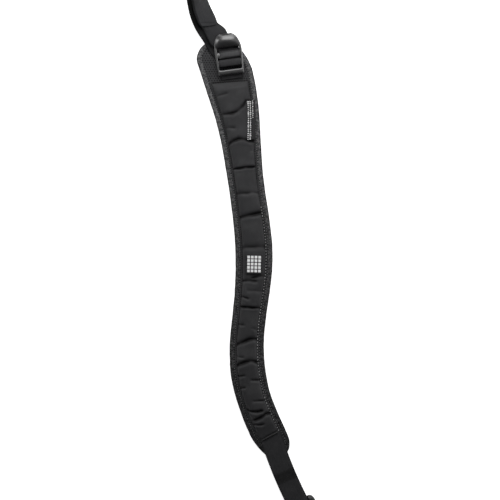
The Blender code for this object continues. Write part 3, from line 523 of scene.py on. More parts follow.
# %% Threads and pale marks
def yarn(name, colour, shade, rough, deep):
    finish = Finish(name)
    place = finish.place()
    east, north, up = finish.parts(place)
    twist = (east + north * 0.8 + up).wave(0.00045)
    lint = finish.noise(place, 700.0, 3.0)
    finish.feed("Base Color", finish.mix(lint * 0.8 * twist, colour, shade))
    finish.feed("Roughness", rough + 0.1 * lint)
    finish.relief(twist + lint * 0.5, deep)
    return finish.material


TACK_THREAD = yarn("tack_thread", (0.006, 0.006, 0.006), (0.022, 0.022, 0.023), 0.80, 0.00006)
TAPE_THREAD = yarn("tape_thread", (0.190, 0.190, 0.193), (0.110, 0.110, 0.113), 0.70, 0.00006)
SHOW_THREAD = yarn("show_thread", (0.400, 0.400, 0.404), (0.260, 0.260, 0.264), 0.70, 0.00006)
SEAM_THREAD = yarn("seam_thread", (0.014, 0.014, 0.015), (0.034, 0.034, 0.036), 0.72, 0.00006)
PALE_YARN = yarn("pale_yarn", (0.88, 0.88, 0.88), (0.60, 0.60, 0.60), 0.75, 0.00005)
PALE_INK = yarn("pale_ink", (0.97, 0.97, 0.97), (0.92, 0.92, 0.92), 0.55, 0.00001)
# a needle hole is a dark bead: painted shade where the cloth is pierced
NEEDLE_HOLE = yarn("needle_hole", UNLIT, (0.006, 0.006, 0.006), 0.90, 0.00002)
TAG_CLOTH = yarn("tag_cloth", (0.013, 0.013, 0.014), (0.026, 0.026, 0.028), 0.80, 0.00006)
print("threads:", TACK_THREAD.name, TAPE_THREAD.name, SHOW_THREAD.name, SEAM_THREAD.name)
print("marks:", PALE_YARN.name, PALE_INK.name, NEEDLE_HOLE.name, "on", TAG_CLOTH.name)

# %% [markdown]
# ## Skins
# Most pieces here are closed rows of points joined by a skin: each row goes once round a
# strap's section, or once round the pad's edge. A cloth map goes on at the same time, in
# metres across and along, so that a weave keeps its real size and follows every bend. The
# faces are turned outwards at the end.


# %% Skin through rows of points
def skin(name, rows, cloth, material, ring=False, sharp=50.0):
    """Join closed rows of points; cloth(row, column) gives the map. With ring, the last row
    joins the first. Without it, a face closes each end."""
    bm = bmesh.new()
    chart = bm.loops.layers.uv.new("cloth")
    made = [[bm.verts.new(point) for point in row] for row in rows]
    columns = len(rows[0])
    for row in range(len(rows) if ring else len(rows) - 1):
        upper = made[row]
        lower = made[(row + 1) % len(rows)]
        for column in range(columns):
            ahead = (column + 1) % columns
            face = bm.faces.new((upper[column], upper[ahead], lower[ahead], lower[column]))
            corners = (
                (row, column), (row, column + 1), (row + 1, column + 1), (row + 1, column))
            for loop, corner in zip(face.loops, corners):
                loop[chart].uv = cloth(*corner)
    if not ring:
        for row in (0, len(rows) - 1):
            face = bm.faces.new(made[row])
            for column, loop in enumerate(face.loops):
                loop[chart].uv = cloth(row, column)
    bmesh.ops.recalc_face_normals(bm, faces=bm.faces)
    return thing_of(name, bm, material, sharp)


def thing_of(name, bm, material, sharp=50.0):
    """Turn a bmesh into an object of the strap."""
    mesh = bpy.data.meshes.new(name)
    bm.to_mesh(mesh)
    bm.free()
    mesh.shade_smooth()
    mesh.set_sharp_from_angle(angle=math.radians(sharp))
    mesh.materials.append(material)
    return shown(name, mesh)


def shown(name, data):
    """A new object in the scene, at the origin."""
    thing = bpy.data.objects.new(name, data)
    bpy.context.scene.collection.objects.link(thing)
    return thing


def settle(thing, slot, *nodes):
    """Every piece moves with the strap's one body, and may stand for solids."""
    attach(thing, "root")
    if nodes:
        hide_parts(*nodes)
    return thing


print("skin: rows of points to a mapped mesh")

# %% [markdown]
# ## The foam pad
# Under everything lies a pad of foam between two cloths. Its rim is pinched flat so that the
# tape can fold over it, its underside is flat where it rests, and its upper cloth swells a
# little. It is made of rings that follow the outline, closed across from side to side.


# %% Foam pad
FOAM_CELLS = 14
FOAM_SWELL = 0.00015


def foam_face(ring, swell):
    """Rows of points across the pad, between the two sides of a ring."""
    rows = []
    for left, right in zip(ring[:PAD_STATIONS], reversed(ring)):
        row = []
        for cell in range(FOAM_CELLS + 1):
            share = cell / FOAM_CELLS
            point = left.lerp(right, share)
            lift = swell * math.sin(math.pi * share)
            lift *= 0.75 + 0.5 * noise.noise(point * 55.0)
            row.append(point + Vector((0, 0, lift)))
        rows.append(row)
    return rows


def foam_pad():
    inner = TAPE_FACE + GAP
    edge = TAPE_THICK + 1.5 * GAP
    rim = [
        (inner, 0.0), (inner - GAP, TAPE_THICK + GAP), (edge, TAPE_THICK + 3 * GAP),
        (edge, PAD_THICK * 0.62), (inner - GAP, PAD_THICK - TAPE_THICK - GAP),
        (inner, PAD_THICK - 0.0002),
    ]
    rings = [moved_in(*step) for step in rim]
    under, over = foam_face(rings[0], 0.0), foam_face(rings[-1], FOAM_SWELL)
    bm = bmesh.new()
    chart = bm.loops.layers.uv.new("cloth")
    for rows, around in ((under, False), (over, False), (rings, True)):
        made = [[bm.verts.new(point) for point in row] for row in rows]
        columns = len(made[0])
        for upper, lower in zip(made, made[1:]):
            for column in range(columns if around else columns - 1):
                ahead = (column + 1) % columns
                bm.faces.new((upper[column], upper[ahead], lower[ahead], lower[column]))
        if not around:
            # a sliver at each tip closes the gap between the row's points and the rim's edge
            bm.faces.new(made[0])
            bm.faces.new(made[-1])
    bmesh.ops.remove_doubles(bm, verts=bm.verts, dist=0.00001)
    for face in bm.faces:
        for loop in face.loops:
            loop[chart].uv = loop.vert.co.xy
    bmesh.ops.recalc_face_normals(bm, faces=bm.faces)
    return thing_of("foam_pad", bm, BACKING_KNIT)


pad = settle(foam_pad(), "pad_cloth", "pad_base")
print(f"foam pad: {len(pad.data.polygons)} faces")

# %% [markdown]
# ## The binding
# A tape is folded over the pad's edge and sewn through. Its fold is round, its two faces are
# flat, and the needle has pulled a shallow groove a few millimetres in from the fold. One
# profile goes right round the outline, and small uneven puckers keep the fold from looking
# machined.


# %% Bound edge
STITCH_IN = 0.0053
# Each step round the tape: how far in from the pad's edge, and how high
BINDING_PROFILE = [
    (TAPE_FACE, 0.0001), (STITCH_IN + 0.0004, 0.0001), (STITCH_IN, 0.0003),
    (STITCH_IN - 0.0005, 0.0001), (0.0030, 0.0000), (0.0016, 0.0001), (0.0007, 0.0005),
    (0.0002, 0.0013), (0.0000, 0.0025), (0.0001, 0.0037), (0.0006, 0.0047),
    (0.0014, 0.0054), (0.0025, 0.0059), (0.0035, 0.0061), (STITCH_IN - 0.0005, 0.0060),
    (STITCH_IN, 0.0056), (STITCH_IN + 0.0004, 0.0058), (TAPE_FACE, 0.0059),
    (TAPE_FACE + 0.0001, 0.0054), (0.0030, 0.0049), (0.0012, 0.0036), (0.0010, 0.0022),
    (0.0030, 0.0010), (TAPE_FACE, 0.0006),
]
PUCKER_FINE = 0.00022
PUCKER_BROAD = 0.00030
PUCKER_HIGH = 0.00016
PUCKER_INSIDE = 0.00010


def bound_edge():
    """The folded tape; its puckers are set in a little, so they stay on the solid's edge."""
    rings = []
    for inset, height in BINDING_PROFILE:
        ring = moved_in(inset, height)
        outer = max(1 - inset / TAPE_FACE, 0)
        top = height / PAD_THICK
        for index, point in enumerate(ring):
            travel = EDGE_TRAVEL[index]
            pull = noise.noise(Vector((travel * 160.0, 0.0, 3.0)))
            sway = noise.noise(Vector((travel * 45.0, 0.0, 9.0)))
            proud = PUCKER_FINE * pull + PUCKER_BROAD * sway - PUCKER_INSIDE
            lift = Vector((0, 0, PUCKER_HIGH * pull * top))
            ring[index] = point - INWARD[index] * outer * proud + lift
        rings.append(ring)
    travelled = [0.0]
    for low, high in zip(BINDING_PROFILE, BINDING_PROFILE[1:] + BINDING_PROFILE[:1]):
        travelled.append(travelled[-1] + math.dist(low, high))
    return skin(
        "bound_edge", rings, lambda row, column: (travelled[row], EDGE_TRAVEL[column]),
        BINDING_TAPE, ring=True)


binding = settle(bound_edge(), "edge_binding", "edge_binding")
print(f"bound edge: {len(binding.data.polygons)} faces")

# %% [markdown]
# ## The raised panel
# The panel is a channel of nylon over soft foam, sewn down along both sides. Where the pad
# bends, the cover has too much cloth and folds across. On a photograph a fold reads as a
# dark line with a pale edge under it, so each one is a valley that rolls down gently from
# above and climbs out steeply below. A table gives each fold's line across the panel, its
# depth and its width. A fold fades out a little past the ends of its line, and noise makes
# it waver, because cloth never folds along a ruler.


# %% Folds of the panel
# In millimetres: how far to each side of the middle the folds are worked out, how far one
# runs on past its line, over what length it fades, and how far it wavers
FOLD_SPAN = 24
FOLD_PAST = 2.5
FOLD_FADE = 4.5
FOLD_WAVER = 0.9
# Each fold: points of its line as (millimetres to the right of the middle, share of the
# pad's length), its depth and its width in millimetres
PANEL_FOLDS = [
    {"line": [(-22, 0.1338), (-12.5, 0.1330), (-6, 0.1322)], "deep": 1.0, "wide": 2.2},
    {"line": [(14, 0.1592), (22, 0.1592)], "deep": 1.6, "wide": 1.2},
    {"line": [(-17, 0.1800), (-8, 0.1810), (2, 0.1786), (10, 0.1668), (13, 0.1576)],
     "deep": 1.9, "wide": 2.3},
    {"line": [(-21, 0.2118), (-5, 0.2148)], "deep": 0.9, "wide": 2.2},
    {"line": [(-17, 0.2540), (-9, 0.2458), (-2, 0.2418), (6, 0.2478), (16, 0.2500)],
     "deep": 2.5, "wide": 2.3},
    {"line": [(10, 0.2727), (18, 0.2727)], "deep": 0.9, "wide": 1.6},
    {"line": [(-18, 0.3110), (0, 0.3094), (19, 0.3100)], "deep": 2.6, "wide": 1.5},
    {"line": [(-18, 0.3648), (-2, 0.3682), (17, 0.3720)], "deep": 1.2, "wide": 2.6},
    {"line": [(-17, 0.4244), (0, 0.4198), (18, 0.4162)], "deep": 2.4, "wide": 2.6},
    {"line": [(-16, 0.4935), (16, 0.4950)], "deep": 1.5, "wide": 3.4},
    {"line": [(-16, 0.5748), (4, 0.5724)], "deep": 1.9, "wide": 1.9},
    {"line": [(-2, 0.5656), (7, 0.5616), (18, 0.5596)], "deep": 1.8, "wide": 2.0},
    {"line": [(-6, 0.5951), (12, 0.5940)], "deep": 0.7, "wide": 2.6},
    {"line": [(-19, 0.6094), (-3, 0.6142)], "deep": 1.5, "wide": 1.7},
    {"line": [(-19, 0.6358), (0, 0.6344), (13, 0.6330)], "deep": 2.6, "wide": 1.5},
    {"line": [(-17, 0.6748), (-5, 0.6755)], "deep": 1.0, "wide": 1.8},
    {"line": [(4, 0.6830), (17, 0.6845)], "deep": 0.9, "wide": 1.8},
    {"line": [(-17, 0.7224), (-11, 0.7215), (-4, 0.7152), (2, 0.7084), (17, 0.7048)],
     "deep": 2.3, "wide": 2.7},
    {"line": [(-18, 0.7460), (-3, 0.7500)], "deep": 1.1, "wide": 1.8},
    {"line": [(-16, 0.7720), (-9, 0.7650), (-4, 0.7612), (6, 0.7594), (17, 0.7668)],
     "deep": 2.5, "wide": 2.5},
    {"line": [(-19, 0.7878), (-4, 0.7918)], "deep": 1.4, "wide": 1.7},
    {"line": [(2, 0.8038), (18, 0.8076)], "deep": 1.4, "wide": 2.0},
    {"line": [(-18, 0.8150), (-6, 0.8178)], "deep": 1.4, "wide": 1.6},
    {"line": [(-2, 0.8530), (10, 0.8576), (17, 0.8590)], "deep": 1.4, "wide": 1.8},
    {"line": [(-18, 0.8590), (-12, 0.8640), (-8, 0.8735), (0, 0.8785), (5, 0.8800)],
     "deep": 2.4, "wide": 1.8},
    {"line": [(-9, 0.8944), (2, 0.8934), (7, 0.8898), (18, 0.8944)],
     "deep": 2.5, "wide": 2.2},
    {"line": [(-18, 0.8990), (-12, 0.9012), (-5, 0.9084), (0, 0.9100)],
     "deep": 1.6, "wide": 1.7},
]
print(f"panel: {len(PANEL_FOLDS)} folds")


# %% Depth of the folds at a place
def line_share(line, aside):
    """Share of the pad's length where a line of points passes, at millimetres to the right."""
    for low, high in zip(line, line[1:]):
        if aside <= high[0]:
            part = max((aside - low[0]) / (high[0] - low[0]), 0)
            return low[1] + (high[1] - low[1]) * part
    return line[-1][1]


def smoothed(line):
    """A line's shares at every half millimetre across, with its corners eased."""
    plain = [line_share(line, step / 2 - FOLD_SPAN) for step in range(4 * FOLD_SPAN + 1)]
    near = [plain[max(step - 4, 0):step + 5] for step in range(len(plain))]
    return [sum(shares) / len(shares) for shares in near]


for fold in PANEL_FOLDS:
    fold["shares"] = smoothed(fold["line"])


def smooth_step(value):
    """0 below 0, 1 above 1, and an even curve between them."""
    value = min(max(value, 0), 1)
    return value * value * (3 - 2 * value)


def folded_down(share, aside):
    """How far the folds sink the panel at a place, in metres; negative where they swell."""
    aside *= 1000
    place = min(max((aside + FOLD_SPAN) * 2, 0), 4 * FOLD_SPAN - 0.001)
    sunk = 0.0
    for fold in PANEL_FOLDS:
        start, stop = fold["line"][0], fold["line"][-1]
        low, high = fold["shares"][int(place)], fold["shares"][int(place) + 1]
        waver = noise.noise(Vector((aside * 0.11, start[1] * 70.0, 0.0)))
        below = (share - low - (high - low) * (place % 1)) * PAD_LONG * 1000
        below += FOLD_WAVER * waver
        reach = min(aside - start[0], stop[0] - aside) + FOLD_PAST
        if abs(below) > 5 * fold["wide"] or reach <= 0:
            continue
        width = fold["wide"] * (1.0 if below < 0 else 0.75)
        valley = math.exp(-(abs(below) / width) ** 1.5)
        swell = math.exp(-((below - 1.7 * fold["wide"]) / fold["wide"]) ** 2)
        deep = fold["deep"] * (1 - 0.7 * waver) * smooth_step(reach / FOLD_FADE)
        sunk += deep * (valley - 0.09 * swell)
    return sunk / 1000


print(f"deepest fold: {max(fold['deep'] for fold in PANEL_FOLDS)} mm")

# %% [markdown]
# At each end the cover is turned in and sewn, which makes a low band and a groove where the
# stitches pull it down. The hems run aslant, each at its own angle. From there the cover
# climbs to its full height, and along its sides it drops to a flat flange under the stitches.


# %% Hems
# Each hem: its slant in degrees and the share of the pad over which that fades, its width
# and height, the distance over which the cover climbs beyond it, its groove, and how much
# shade is painted along its seam and outer edge
HEMS = {
    "top": {"slant": -11.0, "fade": 0.06, "wide": 0.0022, "high": 0.0019, "climb": 0.0090,
            "groove": 0.0007, "dark": 0.45},
    "low": {"slant": 5.0, "fade": 0.04, "wide": 0.0030, "high": 0.0027, "climb": 0.0180,
            "groove": 0.0008, "dark": 0.85},
}
SEAM_SOFT = 0.0008


def panel_half(share, side):
    return pad_half(share, side) - TAPE_FACE - 2 * GAP


def nearest_hem(share):
    return HEMS["top" if share < 0.5 else "low"]


def hem_distance(share):
    """Metres along the pad from a share to the nearest hem's outer edge."""
    return min(share - PANEL_ENDS["top"], PANEL_ENDS["low"] - share) * PAD_LONG


def hem_slope(share):
    """Slant of a row across the panel: the hems' own at the ends, none between them."""
    top, low = HEMS["top"], HEMS["low"]
    near_top = 1 - smooth_step((share - PANEL_ENDS["top"]) / top["fade"])
    near_low = 1 - smooth_step((PANEL_ENDS["low"] - share) / low["fade"])
    slant = top["slant"] * near_top + low["slant"] * near_low
    return math.tan(math.radians(slant)) / PAD_LONG


def hem_seam(hem, from_hem):
    """From 0 to 1, how near a place is to the line of stitches that closes a hem."""
    return math.exp(-((from_hem - hem["wide"]) / SEAM_SOFT) ** 2)


def hem_band(hem, from_hem, outward):
    """Height of a hem's own band, rounded at its outer edge and lower towards its ends."""
    band = hem["high"] * (1 - 0.45 * outward ** 4)
    return band * (0.55 + 0.45 * (1 - max(1 - from_hem / 0.0009, 0) ** 2) ** 0.5)


print("hems aslant:", HEMS["top"]["slant"], HEMS["low"]["slant"], "degrees")

# %% Height of the cover
NYLON_HIGH = 0.0006
RIPPLE_BROAD = 0.00040
RIPPLE_FINE = 0.00022


def panel_high(share, from_hem, side, aside):
    """Height of the cover over the pad, at a place and its distance from the nearest hem."""
    half = panel_half(share, side)
    inside = half - abs(aside)
    if inside <= PANEL_FLANGE:
        bead = math.sin(math.pi * min(inside / PANEL_FLANGE * 1.25, 1))
        return min(0.0009 + 0.0005 * bead, NYLON_HIGH + from_hem)
    part = (inside - PANEL_FLANGE) / max(half - PANEL_FLANGE, 0.001)
    crown = (1 - (1 - min(part, 1)) ** 3.2) ** (1 / 3.2)
    seam_near = math.exp(-(inside - PANEL_FLANGE) / 0.005)
    place = Vector((aside * 75.0, share * PAD_LONG * 75.0, 0.0))
    ripple = noise.noise(place * 0.6) * RIPPLE_BROAD
    ripple += noise.noise(place * 2.4) * RIPPLE_FINE * seam_near
    sunk = folded_down(share, aside) * min(crown * 1.5, 1)
    high = max(PANEL_RISE * crown - sunk + ripple * crown, 0.0008)
    hem = nearest_hem(share)
    band = hem_band(hem, from_hem, abs(aside) / half)
    climb = smooth_step((from_hem - hem["wide"]) / hem["climb"])
    groove = hem["groove"] * hem_seam(hem, from_hem)
    return max(band + (high - band) * climb - groove, NYLON_HIGH)


print(f"cover: {PANEL_RISE * 1000:.1f} mm over the pad where it isn't folded")

# %% [markdown]
# Each point of the cover also keeps how dark it is. A fold is shaded from a certain depth on,
# and a hem along its stitches and at its outer edge, where little light gets under it.


# %% Shade of the folds
CREASE_FROM = 0.00040
CREASE_OVER = 0.0013
CREASE_MOST = 0.92
EDGE_SOFT = 0.0006
SIDE_SOFT = 0.0025


def creased(share, aside, inside, from_hem):
    """How dark a place is at the bottom of a fold or along a hem, none at the sides."""
    hem = nearest_hem(share)
    outer_edge = math.exp(-(from_hem / EDGE_SOFT) ** 2)
    seam = max(hem_seam(hem, from_hem), outer_edge) * hem["dark"]
    deep = (folded_down(share, aside) - CREASE_FROM) / CREASE_OVER
    return max(min(max(deep, 0), CREASE_MOST), seam) * min(max(inside / SIDE_SOFT, 0), 1)


print(f"shade: darkest from {(CREASE_FROM + CREASE_MOST * CREASE_OVER) * 1000:.1f} mm deep")

# %% Sew up the cover
PANEL_ROWS = 640
PANEL_COLUMNS = 52


def panel_cover():
    """Rows across the panel, closer together at its sides, each closed along its flat floor."""
    top, low = PANEL_ENDS["top"], PANEL_ENDS["low"]
    rows = []
    charts = []
    creases = []
    for row in range(PANEL_ROWS + 1):
        share = top + (low - top) * row / PANEL_ROWS
        from_hem = hem_distance(share)
        slope = hem_slope(share)
        halves = {}
        for side in (-1, 1):
            about = side * panel_half(share, side)
            halves[side] = panel_half(share - about * slope, side)
        points = [pad_point(share + halves[-1] * slope, -halves[-1], PANEL_FLOOR)]
        chart = [-halves[-1]]
        crease = [0.0]
        for column in range(PANEL_COLUMNS + 1):
            even = 2 * column / PANEL_COLUMNS - 1
            across = 0.45 * math.sin(math.pi / 2 * even) + 0.55 * even
            side = 1 if across > 0 else -1
            aside = across * halves[side]
            place = share - aside * slope
            fitted = aside * panel_half(place, side) / halves[side]
            high = panel_high(place, from_hem, side, fitted)
            points.append(pad_point(place, aside, PANEL_FLOOR + high))
            chart.append(aside)
            crease.append(creased(place, aside, halves[side] - abs(aside), from_hem))
        points.append(pad_point(share - halves[1] * slope, halves[1], PANEL_FLOOR))
        chart.append(halves[1])
        creases.append(crease + [0.0])
        rows.append(points)
        charts.append((chart + chart[:1], share * PAD_LONG))
    cover = skin(
        "panel_cover", rows, lambda row, column: (charts[row][0][column], charts[row][1]),
        PANEL_NYLON, sharp=80.0)
    crease = cover.data.attributes.new("crease", "FLOAT", "POINT")
    crease.data.foreach_set("value", [value for row in creases for value in row])
    return cover


panel = settle(panel_cover(), "panel_nylon", "centre_panel")
print(f"panel cover: {len(panel.data.polygons)} faces")

# %% [markdown]
# ## Webbing
# The solids hold each length of webbing as a chain of four-cornered sections. Walking that
# chain from one end gives the strap's middle line, the direction across it and the way its
# face looks, and a smooth curve through them gives as many sections as the finer strap
# needs. This keeps every bend and twist where the solid has it.


# %% Read a strap's sections from its solid
def strap_sections(node, end):
    """Sections of a solid strap from one end: middle, across, face, and total thickness."""
    bm = bmesh.new()
    bm.from_mesh(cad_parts[node].data)
    bmesh.ops.remove_doubles(bm, verts=bm.verts, dist=0.000002)
    cut_ends = [corner for corner in bm.verts if len(corner.link_edges) < 6]
    layer = sorted(cut_ends, key=lambda corner: (corner.co - end).length)[:4]
    seen = set(layer)
    pairs = sorted(
        itertools.combinations(layer, 2), key=lambda pair: (pair[0].co - pair[1].co).length)[:2]
    pairs = sorted(pairs, key=lambda pair: pair[0].co.x)
    ordered = []
    for pair in pairs:
        ordered.append(sorted(pair, key=lambda corner: -corner.co.z))
    corners = [ordered[0][0], ordered[1][0], ordered[1][1], ordered[0][1]]
    sections = []
    while True:
        sections.append([corner.co.copy() for corner in corners])
        ahead = {
            edge.other_vert(corner) for corner in corners for edge in corner.link_edges} - seen
        if len(ahead) != 4:
            break
        seen |= ahead
        corners = min(
            itertools.permutations(ahead),
            key=lambda order: sum((a.co - b.co).length for a, b in zip(order, corners)))
    bm.free()
    stops = []
    for left, right, right_under, left_under in sections:
        face = (left - left_under + right - right_under).normalized()
        thick = ((left - left_under).length + (right - right_under).length) / 2
        doubled = thick > 1.8 * WEB_THICK
        under = (right_under + left_under) / 2
        stops.append({
            "middle": under + face * (WEB_THICK if doubled else thick) / 2,
            "across": (right_under - left_under).normalized(),
            "face": face,
            "doubled": doubled,
        })
    return stops


print("straps: sections are read from the solids")

# %% [markdown]
# A smooth curve bulges beside a long straight run, where its few points are far apart. Such
# a run is divided first, and the curve then stays straight there.

# %% A smooth line through the sections
LONG_RUN = 0.05
RUN_STEP = 0.02


def straight_split(stops):
    """Stops added along any long straight run, so that the smooth curve keeps it straight."""
    made = [stops[0]]
    for low, high in zip(stops, stops[1:]):
        long = (high["middle"] - low["middle"]).length
        parts = math.ceil(long / RUN_STEP) if long > LONG_RUN else 1
        for part in range(1, parts):
            made.append({
                name: low[name].lerp(high[name], part / parts)
                for name in ("middle", "across", "face")})
        made.append(high)
    return made


def finer(stops, step):
    """More sections on a smooth curve through a strap's stops, with the travel along it."""
    stops = straight_split(stops)
    spans = [(b["middle"] - a["middle"]).length for a, b in zip(stops, stops[1:])]
    last = len(stops) - 1

    def slope(index, name):
        if index == 0:
            return (stops[1][name] - stops[0][name]) / spans[0]
        if index == last:
            return (stops[last][name] - stops[last - 1][name]) / spans[-1]
        before, after = spans[index - 1], spans[index]
        low = (stops[index][name] - stops[index - 1][name]) / before
        high = (stops[index + 1][name] - stops[index][name]) / after
        return (low * after + high * before) / (before + after)

    made = []
    for index, span in enumerate(spans):
        count = max(math.ceil(span / step), 2)
        for part in range(count + (index == last - 1)):
            t = part / count
            stop = {}
            for name in ("middle", "across", "face"):
                start, stop_at = stops[index][name], stops[index + 1][name]
                stop[name] = (
                    start * (2 * t ** 3 - 3 * t ** 2 + 1)
                    + slope(index, name) * (t ** 3 - 2 * t ** 2 + t) * span
                    + stop_at * (3 * t ** 2 - 2 * t ** 3)
                    + slope(index + 1, name) * (t ** 3 - t ** 2) * span)
            made.append(stop)
    return turned(made)


def turned(made):
    """Square up each section to the line's direction, and measure the travel along it."""
    travel = 0.0
    for index, stop in enumerate(made):
        before = made[max(index - 1, 0)]["middle"]
        after = made[min(index + 1, len(made) - 1)]["middle"]
        along = (after - before).normalized()
        across = (stop["across"] - along * stop["across"].dot(along)).normalized()
        face = across.cross(along)
        if face.dot(stop["face"]) < 0:
            face = -face
        if index:
            travel += (stop["middle"] - before).length
        stop.update(across=across, face=face, along=along, travel=travel)
    return made


print(f"straight runs: divided every {RUN_STEP * 1000:.0f} mm")

# %% [markdown]
# A strap's edge is a rounded selvedge, so its section is a flat oval. A cut end may lean and
# be rounded at its corner, and its sides may be tucked, which curls them down and in. The
# shade and light painted on the webbing, and its darker band of tacks, are stored in the
# mesh, for its finish to read.


# %% Make a strap
def strap_profile(half):
    """Across and face distances round a strap of a half-width."""
    radius = WEB_THICK / 2
    flat = half - radius
    upper = [(flat * (cell / 3 - 1), radius) for cell in range(7)]
    turn = [
        (flat + radius * math.cos(angle), radius * math.sin(angle))
        for angle in (math.radians(45), 0.0, math.radians(-45))]
    return (
        upper + turn + [(x, -z) for x, z in reversed(upper)] + [(-x, -z) for x, z in turn])


# A leaning end is straight again after this distance. The middle share of a tucked strap
# stays flat. Its sides curl with the square of the share beyond that, about TUCK_FULL at
# the very edge.
LEAN_REACH = 0.012
FLAT_PART = 0.35
TUCK_FULL = 0.42


def strap(name, stops, rounded=0.0, lean=0.0):
    """A strap through stops; its first end may lean, with a rounded corner on that side."""
    half = WEB_WIDE / 2
    profile = strap_profile(half)
    rows = []
    for stop in stops:
        slide = stop["along"] * lean * max(1 - stop["travel"] / LEAN_REACH, 0)
        left, right = stop.get("tucked", (0.0, 0.0))
        cut = 1.0
        if stop["travel"] < rounded:
            short = rounded - stop["travel"]
            cut -= (rounded - math.sqrt(max(rounded ** 2 - short ** 2, 0))) / half
        row = []
        for x, z in profile:
            outer = max(abs(x) / half - FLAT_PART, 0) ** 2 / TUCK_FULL
            tuck = (right if x > 0 else left) * outer
            aside = x * (cut if x * lean > 0 else 1) + math.copysign(tuck, -x)
            row.append(
                stop["middle"] + stop["across"] * aside + stop["face"] * (z - 0.7 * tuck)
                + slide * x)
        rows.append(row)
    asides = [x for x, z in profile + profile[:1]]
    made = skin(
        name, rows, lambda row, column: (asides[column], stops[row]["travel"]),
        STRAP_WEBBING)
    # the painted shade and painted light of each stop go into the mesh
    for painted_mark in ("painted_shade_and_tack_band", "rubbed_and_painted_light"):
        value = made.data.attributes.new(painted_mark, "FLOAT", "POINT")
        value.data.foreach_set("value", [stop.get(painted_mark, 0.0) for stop in stops for _ in rows[0]])
    return made


print(f"strap section: {len(strap_profile(WEB_WIDE / 2))} points")

# %% [markdown]
# The lock sits on the pad at a slight turn, which is measured from the pad's own heading. Its
# own directions place the straps' ends and the lock's details, so they are set up once here.
# Its two grip bars are listed too, as shares of its length from its middle, because the
# webbing bends over them: "reach" is how far from a bar's middle it does so, and the last
# column is the painted light that makes the webbing paler there.


# %% The lock's place
LOCK_LONG = 0.0475
LOCK_SHARE = 0.0240 / PAD_LONG
LOCK_TURN = -9.4
LOCK_ASIDE = 0.0078
LOCK_DOWN = heading_vector(pad_heading(LOCK_SHARE) + LOCK_TURN)
GRIP_BARS = [
    {"from": -0.255, "to": -0.133, "reach": 0.085, "rub_and_painted_light": 0.12},
    {"from": -0.061, "to": 0.067, "reach": 0.092, "rub_and_painted_light": 0.58},
]


class Seat:
    """A local frame in plan: across to the right, along, and up."""

    def __init__(self, middle, along):
        self.middle = middle
        self.along = along
        self.across = Vector((along.y, -along.x, 0))

    def at(self, across, along, height):
        point = self.middle + self.across * across + self.along * along
        return Vector((point.x, point.y, height))


LOCK = Seat(pad_point(LOCK_SHARE, LOCK_ASIDE), -LOCK_DOWN)
SEAT_HIGH = PAD_THICK + GAP + WEB_THICK / 2
TAIL_HIGH = SEAT_HIGH + WEB_THICK + 1.7 * GAP
BARS_HIGH = PAD_THICK + 0.0062
print("lock middle:", tuple(round(c * 1000, 1) for c in LOCK.middle.xy), "mm")

# %% [markdown]
# The sling webbing is one length. Its free end is folded back on itself and sewn, which
# stops it slipping out of the lock. The solid is twice as thick there, so the fold is made
# as a second layer that joins the first round the far end. Between the grip bars the
# webbing is pressed into the groove, and the layer under the folded end curls at its sides.


# %% The folded end
def with_folded_end(stops):
    """The strap's own stops, with the doubled end turned into a layer folded back."""
    doubled = [stop for stop in stops if stop["doubled"]]
    rise = WEB_THICK + GAP
    flap = [
        {**stop, "middle": stop["middle"] + stop["face"] * rise, "face": -stop["face"]}
        for stop in reversed(doubled)]
    far = stops[0]
    outward = (far["middle"] - stops[1]["middle"]).normalized()
    fold = []
    for degrees in (60, 30, 0, -30, -60):
        angle = math.radians(degrees)
        level = far["face"] * (rise / 2 + rise / 2 * math.sin(angle))
        beyond = outward * (rise / 2 * math.cos(angle) - rise / 2)
        facing = outward * -math.cos(angle) - far["face"] * math.sin(angle)
        fold.append({**far, "middle": far["middle"] + level + beyond, "face": facing})
    return flap, fold


TAIL_END = LOCK.at(-1.04 * WEB_WIDE, 3.02 * WEB_WIDE, TAIL_HIGH + 0.195 * WEB_WIDE)
SLING_STOPS = strap_sections("sling_webbing", TAIL_END)
FLAP_STOPS, FOLD_STOPS = with_folded_end(SLING_STOPS)
print(f"sling webbing: {len(SLING_STOPS)} stops, {len(FLAP_STOPS)} of them folded back")

# %% Over the grip bars
GROOVE_DIP = 0.0014
GROOVE_REACH = 0.026
BAR_DIP = 0.0005


def over_bars(line):
    """Press the strap into the groove between the two grip bars, and round it over each."""
    groove_at = (GRIP_BARS[0]["to"] + GRIP_BARS[1]["from"]) / 2
    for stop in line:
        place = stop["middle"] - LOCK.middle
        along = place.dot(LOCK.along) / LOCK_LONG
        if stop["middle"].z < BARS_HIGH or abs(place.dot(LOCK.across)) > WEB_WIDE / 2:
            continue
        dip = GROOVE_DIP * math.exp(-((along - groove_at) / GROOVE_REACH) ** 2)
        nearest = math.inf
        for bar in GRIP_BARS:
            away = abs(along - (bar["from"] + bar["to"]) / 2) / bar["reach"]
            nearest = min(nearest, away)
            if away < 1.2:
                dip += BAR_DIP * away ** 2.5
                # painted light: the webbing is paler over a bar
                stop["rubbed_and_painted_light"] = bar["rub_and_painted_light"] * (1 - smooth_step((away - 0.45) / 0.35))
        # painted shade in the groove and beyond the bars
        if nearest < 1.35:
            stop["painted_shade_and_tack_band"] = smooth_step((nearest - 0.78) / 0.22)
        stop["middle"] = stop["middle"] - Vector((0, 0, dip))
    return turned(line)


print(f"groove: {GROOVE_DIP * 1000:.1f} mm deep")

# %% Curl and shade of the layer below
# How far a side is tucked in under the folded end, and where the tuck rises and fades, from
# the flap's cut towards the lock's lip
LEFT_TUCK = {"deep": 0.0052, "rise": (-0.006, 0.004), "fade": (-0.001, 0.013)}
RIGHT_TUCK = {"deep": 0.0026, "rise": (0.011, 0.009), "fade": (0.020, 0.006)}
BAR_TUCK = 0.0022


